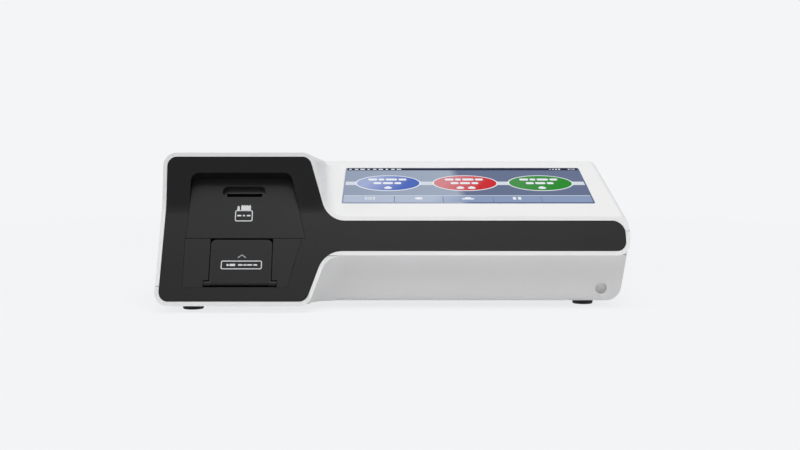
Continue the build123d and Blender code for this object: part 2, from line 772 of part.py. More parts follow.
def chip_board():
    """Board under the card socket, held on the recess floor's two posts."""
    face = Pos(PORT_X, PORT_S - 0.8 - 3.0 - BOARD_THICK / 2) * Rectangle(36.0, BOARD_THICK)
    return on_front(face, FASCIA + PORT_DEPTH, 24.0)


def door_surround():
    """Flush plate round the cartridge door, with the hinge blocks behind it."""
    face = offset(plate_face(), -FIT)
    low = PLATE_BOTTOM_S + 0.5
    opening = DOOR_WIDTH / 2 + DOOR_GAP
    door = Pos(PORT_X, (low + PLATE_TOP_S + 1) / 2) * Rectangle(2 * opening, PLATE_TOP_S + 1 - low)
    high = HINGE_S + EAR_R + RUN
    notch = Pos(PORT_X, (low + high) / 2) * Rectangle(EAR_SPAN + 0.8, high - low)
    plate = on_front(face - door - notch, 0.0, FASCIA)
    edge = PLATE_BOTTOM_S + FIT
    lip = Pos(PORT_X, (low + edge) / 2) * Rectangle(EAR_SPAN + 2 * EAR_BLOCK, low - edge)
    plate += on_front(lip, FASCIA / 2, 4.5)
    for side in (-1, 1):
        middle = PORT_X + side * (EAR_SPAN / 2 + 0.4 + EAR_BLOCK / 2)
        plate += on_front(Pos(middle, HINGE_S) * Rectangle(EAR_BLOCK, 6.0), 0.5, 4.5)
    return plate - rod_x(PIN_R, (PORT_X - 26, PORT_X + 26), HINGE.Y, HINGE.Z)


def hinge_pin():
    """Steel pin through the door's ears and the blocks beside them."""
    half = EAR_SPAN / 2 + EAR_BLOCK
    return rod_x(PIN_R, (PORT_X - half, PORT_X + half), HINGE.Y, HINGE.Z)


def tray_door():
    """Flap over the tray, on a barrel with an ear at each side of its foot."""
    height = DOOR_TOP_S - HINGE_S
    face = Pos(PORT_X, HINGE_S + height / 2) * Rectangle(DOOR_WIDTH, height)
    face = fillet(face.vertices().group_by(Axis.Y)[-1], DOOR_R)
    door = on_front(face, 0.0, FASCIA)
    half = DOOR_WIDTH / 2
    door += rod_x(HINGE_DEPTH, (PORT_X - half, PORT_X + half), HINGE.Y, HINGE.Z)
    for side in (-1, 1):
        ends = sorted((PORT_X + side * (half - 1.0), PORT_X + side * EAR_SPAN / 2))
        door += rod_x(EAR_R, ends, HINGE.Y, HINGE.Z)
        rib = Pos(PORT_X + side * 12.0, HINGE_S + height / 2 + 2) * Rectangle(1.0, height - 8)
        door += on_front(rib, FASCIA, 0.6)
    return door - rod_x(PIN_R + PIN_FIT, (PORT_X - 26, PORT_X + 26), HINGE.Y, HINGE.Z)


# ---------------------------------------------------------------- tray, guide and drive
def cartridge_tray():
    """Tray with a pocket for the cartridge and a tongue along each side."""
    x = (PORT_X - TRAY_HALF, PORT_X + TRAY_HALF)
    tray = block(x, (TRAY_FRONT, TRAY_BACK), (TRAY_Z, TRAY_TOP))
    tray = fillet(tray.edges().filter_by(Axis.Z).group_by(Axis.Y)[0], 2.0)
    middle = (TRAY_Z + TRAY_TOP) / 2
    half = TRAY_HALF + TONGUE
    z = (middle - TONGUE_THICK / 2, middle + TONGUE_THICK / 2)
    tray += block((PORT_X - half, PORT_X + half), (TRAY_FRONT + 6, TRAY_BACK), z)
    start = TRAY_FRONT + 2.0
    w, length, depth = POCKET
    tray -= block(
        (PORT_X - w / 2, PORT_X + w / 2), (start, start + length), (TRAY_TOP - depth, TRAY_TOP + 1)
    )
    tray -= Pos(PORT_X, TRAY_FRONT, TRAY_TOP) * Cylinder(7.0, 2 * depth)
    window = block((PORT_X - 5, PORT_X + 5), (start + 22, start + 42), (TRAY_Z - 1, TRAY_TOP))
    return tray - window


def tray_rack():
    """Toothed rack under the tray."""
    x = (PORT_X + RACK_X - RACK_WIDTH / 2, PORT_X + RACK_X + RACK_WIDTH / 2)
    root = RACK_PITCH_Z + 1.25 * MODULE
    pitch = MODULE * 3.14159265
    rack = block(x, (RACK_FRONT, RACK_BACK), (root, TRAY_Z))
    lean = tan(radians(20.0))
    half = pitch / 4 - BACKLASH / 2
    tooth = [
        (-half - 1.25 * MODULE * lean, 1.3 * MODULE),
        (half + 1.25 * MODULE * lean, 1.3 * MODULE),
        (half - 0.9 * MODULE * lean, -0.9 * MODULE),
        (-half + 0.9 * MODULE * lean, -0.9 * MODULE),
    ]
    face = make_face(Polyline(*tooth, close=True))
    first = -int((PINION_Y - RACK_FRONT - 2.0) / pitch)
    last = int((RACK_BACK - PINION_Y - 2.0) / pitch)
    for step in range(first, last + 1):
        rack += prism_x(Pos(PINION_Y + step * pitch, RACK_PITCH_Z) * face, x)
    return rack


def gear_face(module, teeth, backlash):
    """Spur gear outline with straight-flanked teeth, one gap centred straight up."""
    pitch_r = module * teeth / 2
    root_r = pitch_r - 1.2 * module
    tip_r = pitch_r + 0.9 * module
    half_pitch = 90.0 / teeth - degrees_of(backlash / 2, pitch_r)
    lean = 0.36 * module
    root = half_pitch + degrees_of(1.1 * lean, pitch_r)
    tip = half_pitch - degrees_of(1.25 * lean, pitch_r)
    face = Circle(root_r + 0.02)
    tooth = [
        polar(root_r - 0.3, -root),
        polar(tip_r, -tip),
        polar(tip_r, tip),
        polar(root_r - 0.3, root),
    ]
    blade = make_face(Polyline(*tooth, close=True))
    for step in range(teeth):
        face += Rot(0, 0, 90.0 + (step + 0.5) * 360.0 / teeth) * blade
    return face


def degrees_of(arc, radius):
    """Angle in degrees of an arc length at a radius."""
    return arc / radius * 57.29578


def polar(radius, angle):
    """Point at an angle in degrees from the X axis."""
    return (radius * cos(radians(angle)), radius * sin(radians(angle)))


def drive_pinion():
    """Pinion that drives the rack, on its shaft."""
    x = PORT_X + RACK_X - RACK_WIDTH / 2
    gear = prism_x(gear_face(MODULE, PINION_TEETH, BACKLASH), (0, RACK_WIDTH))
    return Pos(x, PINION_Y, PINION_Z) * gear - rod_x(SHAFT_R, (x - 1, x + 9), PINION_Y, PINION_Z)


def pinion_shaft():
    """Motor shaft that carries the pinion."""
    x = PORT_X + RACK_X - RACK_WIDTH / 2
    return rod_x(SHAFT_R, (x, PORT_X + RAIL_HALF + 0.8 + BRACKET + 3.5), PINION_Y, PINION_Z)


def motor_bracket():
    """Bent sheet that carries the motor beside the rail."""
    x = PORT_X + RAIL_HALF + 0.8
    y = (PINION_Y - 13.0, PINION_Y + 13.0)
    plate = block((x, x + BRACKET), y, (FLOOR, PINION_Z + 9.0))
    foot = block((x, x + 16.0), y, (FLOOR, FLOOR + BRACKET))
    hole = rod_x(3.6, (x - 1, x + 3), PINION_Y, PINION_Z)
    slots = [Pos(x + 11.0, PINION_Y + side * 9.0, FLOOR) * Cylinder(1.6, 6.0) for side in (-1, 1)]
    bracket = plate + foot - hole
    for slot in slots:
        bracket -= slot
    return bracket


def tray_motor():
    """Stepper motor with its front boss."""
    x = PORT_X + RAIL_HALF + 0.8 + BRACKET
    can = rod_x(MOTOR_R, (x, x + MOTOR_LENGTH), PINION_Y, PINION_Z)
    can = fillet(can.edges().filter_by(GeomType.CIRCLE).sort_by(Axis.X)[-1], 1.5)
    can += rod_x(3.5, (x - BRACKET - 0.4, x + 0.5), PINION_Y, PINION_Z)
    plug = block((x + 3, x + 11), (PINION_Y + MOTOR_R - 2, PINION_Y + MOTOR_R + 5), (PINION_Z - 4, PINION_Z + 2))
    return can + plug - rod_x(SHAFT_R + 0.05, (x - 5, x + 4.0), PINION_Y, PINION_Z)


def tray_guide():
    """Guide with a channel rail at each side of the tray, on bridges and legs."""
    tongue_z = (TRAY_Z + TRAY_TOP) / 2
    inner = TRAY_HALF + RUN
    slot = TRAY_HALF + TONGUE + RUN
    low = FLOOR + 13.0
    guide = None
    for side in (-1, 1):
        x = sorted((PORT_X + side * inner, PORT_X + side * RAIL_HALF))
        rail = block(x, (RAIL_FRONT, RAIL_BACK), RAIL_Z)
        x = sorted((PORT_X + side * (inner - 1), PORT_X + side * slot))
        half = TONGUE_THICK / 2 + RUN
        rail -= block(x, (RAIL_FRONT - 1, RAIL_BACK - 2.0), (tongue_z - half, tongue_z + half))
        guide = rail if guide is None else guide + rail
    for y in ((RAIL_FRONT, RAIL_FRONT + 9.0), (RAIL_BACK - 9.0, RAIL_BACK)):
        x = (PORT_X - RAIL_HALF, PORT_X + RAIL_HALF)
        guide += block(x, y, (low, RACK_PITCH_Z - MODULE - 0.6))
        for side in (-1, 1):
            x = sorted((PORT_X + side * slot, PORT_X + side * RAIL_HALF))
            guide += block(x, y, (FLOOR, RAIL_Z[0] + 0.5))
            x = sorted((PORT_X + side * slot, PORT_X + side * (RAIL_HALF + 5.0)))
            guide += block(x, y, (FLOOR, FLOOR + 2.0))
    return guide


def home_sensor():
    """Small fork sensor on the guide's rear bridge that sees the tray at home."""
    x = (PORT_X - 8.0, PORT_X - 1.0)
    y = (RAIL_BACK, RAIL_BACK + 5.0)
    low = FLOOR + 13.0
    body = block(x, y, (low, low + 10.0))
    return body - block((x[0] + 2.5, x[1] - 2.5), (y[0] + 1, y[1] + 1), (low + 3, low + 11))


# ---------------------------------------------------------------- optics
OPTICS_Y = (-24.0, 14.0)
OPTICS_HEIGHT = 18.0


def optics_block():
    """Light-tight block over the tray: upright detector bore and a slanted lamp bore."""
    x = (PORT_X - RAIL_HALF, PORT_X + RAIL_HALF)
    z = RAIL_Z[1]
    body = block(x, OPTICS_Y, (z, z + OPTICS_HEIGHT))
    body = chamfer(body.edges().filter_by(Axis.X).group_by(Axis.Z)[-1], 4.0)
    middle = sum(OPTICS_Y) / 2
    body -= Pos(PORT_X, middle, z + 10) * Cylinder(4.2, 60)
    body -= Pos(PORT_X, middle, z) * Box(14.0, 14.0, 3.0)
    lamp = Pos(PORT_X, middle, z + 5) * Rot(0, 50, 0) * Pos(0, 0, 20) * Cylinder(2.7, 40)
    return body - lamp


def optics_lens():
    """Lens at the foot of the detector bore."""
    middle = sum(OPTICS_Y) / 2
    lens = Pos(PORT_X, middle, RAIL_Z[1] + 3.2) * Cylinder(4.15, 2.6)
    return lens - Pos(PORT_X, middle, RAIL_Z[1] - 5.0) * Sphere(7.6)


def detector_cap():
    """Detector housing on top of the block."""
    middle = sum(OPTICS_Y) / 2
    z = RAIL_Z[1] + OPTICS_HEIGHT
    cap = Pos(PORT_X, middle, z + 2.5) * Cylinder(7.0, 5.0)
    return cap + Pos(PORT_X, middle, z - 1.5) * Cylinder(4.1, 3.0)


def lamp_module():
    """Lamp in the slanted bore, with its heat sink outside the block."""
    middle = sum(OPTICS_Y) / 2
    turn = Pos(PORT_X, middle, RAIL_Z[1] + 5) * Rot(0, 50, 0)
    lamp = turn * Pos(0, 0, 20.5) * Cylinder(2.6, 13.0)
    return lamp + turn * Pos(0, 0, 29.0) * Cylinder(5.0, 4.0)


# ---------------------------------------------------------------- screen
def touch_glass():
    """Touch panel, flush in the deck."""
    return on_deck(glass_face(), 0.0, GLASS)


def screen_gasket():
    """Foam frame between the glass and the display."""
    hole = Pos(SCREEN_X, SCREEN_S + SCREEN_DEPTH / 2) * Rectangle(SCREEN_WIDTH - 8, SCREEN_DEPTH - 8)
    return on_deck(glass_face() - hole, GLASS, WALL - GLASS)


def display_face():
    """Outline of the display module."""
    return Pos(SCREEN_X, SCREEN_S + SCREEN_DEPTH / 2) * Rectangle(MODULE_SIZE[0], MODULE_SIZE[1])


def display_module():
    """Display in its metal frame, with a shallow tub behind."""
    module = on_deck(display_face(), WALL, MODULE_SIZE[2] - 1.5)
    tub = Pos(SCREEN_X, SCREEN_S + SCREEN_DEPTH / 2) * Rectangle(MODULE_SIZE[0] - 12, MODULE_SIZE[1] - 12)
    return module + on_deck(tub, WALL + MODULE_SIZE[2] - 1.5, 1.5)


def display_brackets():
    """Two bars that clamp the display up against the deck."""
    bars = []
    start = WALL + MODULE_SIZE[2]
    for s in (SCREEN_S + 15.0, SCREEN_S + SCREEN_DEPTH - 15.0):
        face = Pos(SCREEN_X, s) * Rectangle(MODULE_SIZE[0] - 4.0, 9.0)
        bar = on_deck(face, start, 1.2)
        for side in (-1, 1):
            ear = Pos(SCREEN_X + side * (MODULE_SIZE[0] / 2 - 3.0), s) * Rectangle(4.0, 9.0)
            bar += on_deck(ear, start - 1.5, 2.0)
        bars.append(bar)
    return group(bars)


# ---------------------------------------------------------------- printer, in the tower's top frame
def printer_lid():
    """Lid with lugs for the platen at its front and a barrel round its pin at the back."""
    lid = Pos(0, 0, -LID_THICK) * extrude(lid_face(), amount=LID_THICK)
    lid -= Pos(0, LID_HINGE_Y + 10, 0) * Box(200, 20, 20)
    lid += Pos(0, LID_HINGE_Y, LID_HINGE_Z) * Rot(0, 90, 0) * Cylinder(LID_BARREL_R, 2 * LID_HALF - 0.8)
    lid -= Pos(0, LID_FRONT, 0) * Box(2 * LID_HALF - 8, 3.0, 3.0)
    for side in (-1, 1):
        middle = side * (PLATEN_HALF + 0.3 + LUG / 2)
        lug = Pos(middle, PLATEN_Y + 1.0, (PLATEN_Z - 3.0 - LID_THICK) / 2)
        lid += lug * Box(LUG, 9.0, LID_THICK - PLATEN_Z + 3.0 - 2.0)
    lid -= Pos(0, PLATEN_Y, PLATEN_Z) * Rot(0, 90, 0) * Cylinder(PLATEN_SHAFT_R + 0.05, 80)
    lid -= Pos(0, LID_HINGE_Y, LID_HINGE_Z) * Rot(0, 90, 0) * Cylinder(LID_PIN_R + 0.05, 80)
    return on_top(lid)


def lid_pin():
    """Steel hinge pin of the printer lid, held in the bucket's ears."""
    pin = Pos(0, LID_HINGE_Y, LID_HINGE_Z) * Rot(0, 90, 0)
    return on_top(pin * Cylinder(LID_PIN_R, 2 * (BUCKET_HALF + BUCKET_WALL)))


def platen_roller():
    """Rubber roller on its steel shaft."""
    turn = Pos(0, PLATEN_Y, PLATEN_Z) * Rot(0, 90, 0)
    tube = Cylinder(PLATEN_R, 2 * PLATEN_HALF) - Cylinder(PLATEN_SHAFT_R, 2 * PLATEN_HALF)
    return on_top(turn * tube)


def platen_shaft():
    """Shaft through the roller, the lid's lugs and the gear."""
    low = -PLATEN_HALF - 0.3 - LUG
    high = PLATEN_HALF + 0.3 + LUG + 0.4 + GEAR_WIDTH
    shaft = Pos((low + high) / 2, PLATEN_Y, PLATEN_Z) * Rot(0, 90, 0)
    return on_top(shaft * Cylinder(PLATEN_SHAFT_R, high - low))


def gear_x():
    """Place across the printer where the two gears start."""
    return PLATEN_HALF + 0.3 + LUG + 0.4


def local_gear(teeth, bore, y, z, turn):
    """Gear of the printer's drive, drawn in the top's frame."""
    face = Rot(0, 0, turn) * gear_face(GEAR_MODULE, teeth, 0.24) - Circle(bore)
    return on_top(Pos(gear_x(), y, z) * prism_x(face, (0, GEAR_WIDTH)))


def platen_gear():
    """Gear at the roller's right end, with a tooth straight down to the drive gear."""
    return local_gear(PLATEN_TEETH, PLATEN_SHAFT_R, PLATEN_Y, PLATEN_Z, 180.0 + 180.0 / PLATEN_TEETH)


def drive_gear_z():
    """Height of the drive gear's axle, one centre distance below the platen's."""
    return PLATEN_Z - GEAR_MODULE * (PLATEN_TEETH + DRIVE_TEETH) / 2


def print_gear():
    """Gear below the platen gear, on a stub axle of the printer motor's gearbox."""
    return local_gear(DRIVE_TEETH, SHAFT_R, PLATEN_Y, drive_gear_z(), 0.0)


def print_gearbox():
    """Gearbox and motor that turn the drive gear."""
    z = drive_gear_z()
    x = gear_x()
    low = -10.0
    back = PLATEN_Y - PLATEN_R - 4.3
    box = block((low, x - 1.0), (back - 8.0, back), (z - 9.0, z + 5.5))
    arm = block((x - 4.2, x - 1.2), (back - 1.0, PLATEN_Y + 5.0), (z - 6.0, z + 1.9))
    axle = Pos(x + 0.2, PLATEN_Y, z) * Rot(0, 90, 0) * Cylinder(SHAFT_R - 0.05, 2 * GEAR_WIDTH + 1.0)
    return on_top(box + arm + axle)


def print_head():
    """Thermal head: a thin heated bar on its heat sink, pressed to the roller."""
    y = PLATEN_Y - PLATEN_R
    sink = block((-30.0, 30.0), (y - 4.3, y - 1.3), (PLATEN_Z - 9.0, PLATEN_Z + 3.0))
    bar = block((-28.0, 28.0), (y - 1.3, y - 0.3), (PLATEN_Z - 4.0, PLATEN_Z + 2.6))
    return on_top(sink + bar)


def tear_bar():
    """Toothed steel strip over the print head."""
    y = PLATEN_Y - PLATEN_R - 0.6
    bar = block((-29.0, 29.0), (y - 3.8, y - 0.4), (PLATEN_Z + 3.0, PLATEN_Z + 3.6))
    for step in range(29):
        x = -28.0 + 2.0 * step
        bar -= Pos(x, y - 0.4, PLATEN_Z + 3.3) * Rot(0, 0, 45) * Box(0.8, 0.8, 2.0)
    return on_top(bar)


def paper_bucket():
    """Tub for the paper roll, with ears for the lid's pin and a flange under the top."""
    half = BUCKET_HALF
    y = (PLATEN_Y + PLATEN_R + 1.4, LID_BACK + 1.0)
    wall = BUCKET_WALL
    low = ROLL_Z - ROLL_R - 1.2
    high = -WALL - 0.1
    outer = block((-half - wall, half + wall), (y[0], y[1] + wall), (low - wall, high))
    inner = block((-half, half), (y[0] - 5, y[1]), (ROLL_Z, high + 1))
    inner += block((-half, half), (y[0] - 5, ROLL_Y), (ROLL_Z - 7.0, ROLL_Z + 1))
    trough = Pos(0, ROLL_Y, ROLL_Z) * Rot(0, 90, 0) * Cylinder(ROLL_R + 1.2, 2 * half)
    tub = outer - inner - trough
    for side in (-1, 1):
        x = sorted((side * half, side * (half + wall)))
        cheek = block(x, (PLATEN_Y - 12.0, y[0] + 1), (low + 16.0, PLATEN_Z - 2.4))
        tub += cheek
    tub += block((-half, -30.1), (y[0] - 13.0, y[0] - 8.2), (PLATEN_Z - 9.0, PLATEN_Z - 4.6))
    tub -= Pos(0, LID_HINGE_Y, LID_HINGE_Z) * Rot(0, 90, 0) * Cylinder(LID_PIN_R, 100)
    return on_top(tub)


def paper_roll():
    """Roll of paper round its core."""
    turn = Pos(0, ROLL_Y, ROLL_Z) * Rot(0, 90, 0)
    return on_top(turn * (Cylinder(ROLL_R, ROLL_WIDTH) - Cylinder(CORE_R, ROLL_WIDTH)))


def roll_core():
    """Paper tube inside the roll."""
    turn = Pos(0, ROLL_Y, ROLL_Z) * Rot(0, 90, 0)
    return on_top(turn * (Cylinder(CORE_R, ROLL_WIDTH + 0.6) - Cylinder(CORE_R - 1.0, 70)))


def release_button():
    """Button in front of the lid that frees its latch."""
    cap = Pos(0, BUTTON_Y, -4.5) * extrude(button_face(), amount=4.7)
    cap = fillet(cap.faces().sort_by(Axis.Z)[-1].edges(), 0.6)
    stem = Pos(0, BUTTON_Y, -8.0) * Box(4.0, 4.0, 8.0)
    return on_top(cap + stem)


def button_carrier():
    """Bridge under the release button that guides its stem."""
    low = -12.0
    plate = block((-14.0, 14.0), (BUTTON_Y - 6.0, BUTTON_Y + 5.2), (low, low + 2.0))
    plate -= Pos(0, BUTTON_Y, low) * Box(4.0 + 2 * RUN, 4.0 + 2 * RUN, 6.0)
    for side in (-1, 1):
        plate += block(sorted((side * 11.0, side * 14.0)), (BUTTON_Y - 6.0, BUTTON_Y + 5.2), (low, -WALL))
    return on_top(plate)


# ---------------------------------------------------------------- boards and rear panel
def main_board():
    """Main circuit board on the lower shell's stand-offs."""
    return block(BOARD_X, BOARD_Y, (BOARD_Z, BOARD_Z + BOARD_THICK))


def board_parts():
    """Chips, connectors and battery on the main board."""
    top = BOARD_Z + BOARD_THICK
    x, y = BOARD_X[0], BOARD_Y[0]
    parts = [
        block((x + 48, x + 72), (y + 38, y + 62), (top, top + 2.0)),
        block((x + 82, x + 94), (y + 40, y + 50), (top, top + 1.4)),
        block((x + 82, x + 94), (y + 54, y + 64), (top, top + 1.4)),
        block((x + 8, x + 32), (y + 6, y + 12), (top, top + 7.0)),
        block((x + 52, x + 80), (y + 4, y + 8), (top, top + 3.0)),
        Pos(x + 122, y + 68, top + 2.0) * Cylinder(10.0, 4.0),
        Pos(x + 124, y + 28, top + 6.0) * Cylinder(5.0, 12.0),
    ]
    return group(parts)


def board_screws():
    """Screws of the main board."""
    screws = []
    for x in (BOARD_X[0] + 5, BOARD_X[1] - 5):
        for y in (BOARD_Y[0] + 5, BOARD_Y[1] - 22):
            screws.append(Pos(x, y, BOARD_Z + BOARD_THICK + 0.9) * Cylinder(2.5, 1.8))
    return group(screws)


def socket_shell(x, y, z, wall):
    """Open-fronted metal box of a socket."""
    outer = block(x, y, z)
    room = block((x[0] + wall, x[1] - wall), (y[0] + 2.0, y[1] + 1.0), (z[0] + wall, z[1] - wall))
    return outer - room


def lan_socket():
    """Network socket on the board's rear edge."""
    low = BOARD_Z + BOARD_THICK
    return socket_shell((LAN_X - 8.0, LAN_X + 8.0), (BACK - 21.0, BACK - 0.5), (low, low + 13.5), 1.6)


def usb_sockets():
    """Two sockets, each with its tongue."""
    low = BOARD_Z + BOARD_THICK
    sockets = []
    for x in USB_X:
        shell = socket_shell((x - 6.8, x + 6.8), (BACK - 14.0, BACK - 0.5), (low + 0.2, low + 7.2), 0.6)
        tongue = block((x - 5.2, x + 5.2), (BACK - 13.0, BACK - 2.0), (low + 4.4, low + 6.2))
        sockets.append(shell + tongue)
    return group(sockets)


def serial_port():
    """Serial port: flanged shell with nine pins in two rows."""
    low = BOARD_Z + BOARD_THICK
    middle = BOARD_Z + 8.4
    body = block((SERIAL_X - 15.4, SERIAL_X + 15.4), (BACK - 12.0, BACK - WALL), (low, middle + 6.2))
    body += block((SERIAL_X - 8.6, SERIAL_X + 8.6), (BACK - 5.0, BACK - 0.3), (middle - 4.0, middle + 4.0))
    body -= block((SERIAL_X - 8.0, SERIAL_X + 8.0), (BACK - 6.0, BACK + 1), (middle - 3.4, middle + 3.4))
    for row, count in ((-1, 4), (1, 5)):
        for pin in range(count):
            x = SERIAL_X + (pin - (count - 1) / 2) * 2.76
            body += rod_y(0.5, x, middle + row * 1.42, (BACK - 7.0, BACK - 1.5))
    return body


def port_screws():
    """Two hexagon screw posts beside the serial port."""
    posts = []
    for side in (-1, 1):
        x = SERIAL_X + side * 12.5
        post = Pos(x, BACK - 0.2, BOARD_Z + 8.4) * Rot(90, 0, 0) * extrude(RegularPolygon(2.7, 6), amount=2.1)
        posts.append(post & rod_y(1.6, x, BOARD_Z + 8.4, (BACK - WALL, BACK)))
    return group(posts)


def power_inlet():
    """Round power inlet with its pin."""
    body = rod_y(5.0, INLET_X, FLOOR + 14, (BACK - 13.0, BACK - 0.3))
    body -= rod_y(3.4, INLET_X, FLOOR + 14, (BACK - 10.0, BACK))
    body += rod_y(1.0, INLET_X, FLOOR + 14, (BACK - 11.0, BACK - 1.5))
    flange = block((INLET_X - 7.0, INLET_X + 7.0), (BACK - 13.0, BACK - WALL), (FLOOR, FLOOR + 20))
    return body + (flange - rod_y(4.0, INLET_X, FLOOR + 14, (BACK - 11.0, BACK)))


ROCKER_TILT = 8.0


def switch_housing():
    """Snap-in frame of the power switch."""
    z = (FLOOR + 10, FLOOR + 23)
    frame = block((SWITCH_X - 9.4, SWITCH_X + 9.4), (BACK - 14.0, BACK), (z[0] + 0.2, z[1] - 0.2))
    room = block((SWITCH_X - 7.6, SWITCH_X + 7.6), (BACK - 8.0, BACK + 1), (z[0] + 1.6, z[1] - 1.6))
    return frame - room


def power_rocker():
    """Rocker, tilted to its off side and curved on its face."""
    middle = FLOOR + 16.5
    y = BACK - 3.0
    half = 7.3
    points = [(-half, 0.0), (half, 0.0), (half, 1.6), (0, 0.4), (-half, 1.6)]
    face = make_face(Polyline(*points, close=True))
    body = extrude(face, amount=9.2)
    body = Pos(SWITCH_X, y, middle - 4.6) * body
    hub = Pos(SWITCH_X, y - 1.0, middle) * Cylinder(2.4, 9.2)
    turned = body + hub
    return turned.rotate(Axis((SWITCH_X, y - 1.0, middle), (0, 0, 1)), ROCKER_TILT)


def speaker():
    """Small loudspeaker over the floor's slots."""
    ring = Pos(*SPEAKER, FLOOR + 2.5) * (Cylinder(14.0, 5.0) - Pos(0, 0, 1.5) * Cylinder(12.0, 4.0))
    return ring + Pos(*SPEAKER, FLOOR + 5.0) * Cylinder(8.0, 4.5)


# ---------------------------------------------------------------- nodes
base_shell, top_shell = shells()
NODES = {
    "base_shell": base_shell,
    "top_shell": top_shell,
    "front_fascia": front_fascia(),
    "chip_panel": chip_panel(),
    "chip_port": chip_port(),
    "chip_socket": chip_socket(),
    "chip_board": chip_board(),
    "door_surround": door_surround(),
    "door_hinge_pin": hinge_pin(),
    "tray_door": tray_door(),
    "cartridge_tray": cartridge_tray(),
    "tray_rack": tray_rack(),
    "tray_guide": tray_guide(),
    "home_sensor": home_sensor(),
    "drive_pinion": drive_pinion(),
    "pinion_shaft": pinion_shaft(),
    "motor_bracket": motor_bracket(),
    "tray_motor": tray_motor(),
    "optics_block": optics_block(),
    "optics_lens": optics_lens(),
    "detector_cap": detector_cap(),
    "lamp_module": lamp_module(),
    "touch_glass": touch_glass(),
    "screen_gasket": screen_gasket(),
    "display_module": display_module(),
    "display_brackets": display_brackets(),
    "printer_lid": printer_lid(),
    "lid_hinge_pin": lid_pin(),
    "platen_roller": platen_roller(),
    "platen_shaft": platen_shaft(),
    "platen_gear": platen_gear(),
    "print_drive_gear": print_gear(),
    "print_gearbox": print_gearbox(),
    "print_head": print_head(),
    "tear_bar": tear_bar(),
    "paper_bucket": paper_bucket(),
    "paper_roll": paper_roll(),
    "roll_core": roll_core(),
    "release_button": release_button(),
    "button_carrier": button_carrier(),
    "main_board": main_board(),
    "board_parts": board_parts(),
    "board_screws": board_screws(),
    "lan_socket": lan_socket(),
    "usb_sockets": usb_sockets(),
    "serial_port": serial_port(),
    "serial_port_screws": port_screws(),
    "power_inlet": power_inlet(),
    "switch_housing": switch_housing(),
    "power_rocker": power_rocker(),
    "speaker": speaker(),
    "rubber_feet": rubber_feet(),
    "case_screws": case_screws(),
}

os.makedirs("parts", exist_ok=True)
for node, shape in NODES.items():
    export_step(shape, f"parts/{node}.step")
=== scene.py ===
"""Rapid test reader: finishes, printed signs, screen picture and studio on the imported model."""
import json
import logging
import math
from collections.abc import Callable, Sequence
from dataclasses import dataclass, field
from enum import Enum

import bpy
from mathutils import Matrix, Vector

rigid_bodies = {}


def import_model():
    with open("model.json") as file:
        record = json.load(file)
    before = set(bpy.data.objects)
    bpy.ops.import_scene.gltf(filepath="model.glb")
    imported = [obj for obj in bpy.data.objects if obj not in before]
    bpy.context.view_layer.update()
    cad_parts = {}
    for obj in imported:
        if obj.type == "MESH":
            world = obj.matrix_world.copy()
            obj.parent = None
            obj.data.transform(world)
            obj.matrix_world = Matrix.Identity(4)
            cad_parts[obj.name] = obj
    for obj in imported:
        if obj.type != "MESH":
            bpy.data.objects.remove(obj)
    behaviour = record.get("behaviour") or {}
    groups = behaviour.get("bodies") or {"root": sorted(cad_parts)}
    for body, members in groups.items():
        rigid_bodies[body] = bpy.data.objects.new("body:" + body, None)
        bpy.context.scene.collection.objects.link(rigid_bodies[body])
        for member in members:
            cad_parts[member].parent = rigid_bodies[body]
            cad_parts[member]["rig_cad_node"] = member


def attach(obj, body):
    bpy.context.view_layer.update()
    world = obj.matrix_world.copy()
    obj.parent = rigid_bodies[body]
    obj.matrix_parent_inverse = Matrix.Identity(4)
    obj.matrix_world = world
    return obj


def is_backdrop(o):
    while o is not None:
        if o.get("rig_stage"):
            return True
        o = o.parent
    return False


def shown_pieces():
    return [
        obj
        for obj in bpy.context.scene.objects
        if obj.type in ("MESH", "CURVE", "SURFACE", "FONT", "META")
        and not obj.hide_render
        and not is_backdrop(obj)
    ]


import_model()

LOG = logging.getLogger("reader")
Colour = tuple[float, float, float]
Point2 = tuple[float, float]
Point3 = tuple[float, float, float]
MM = 0.001


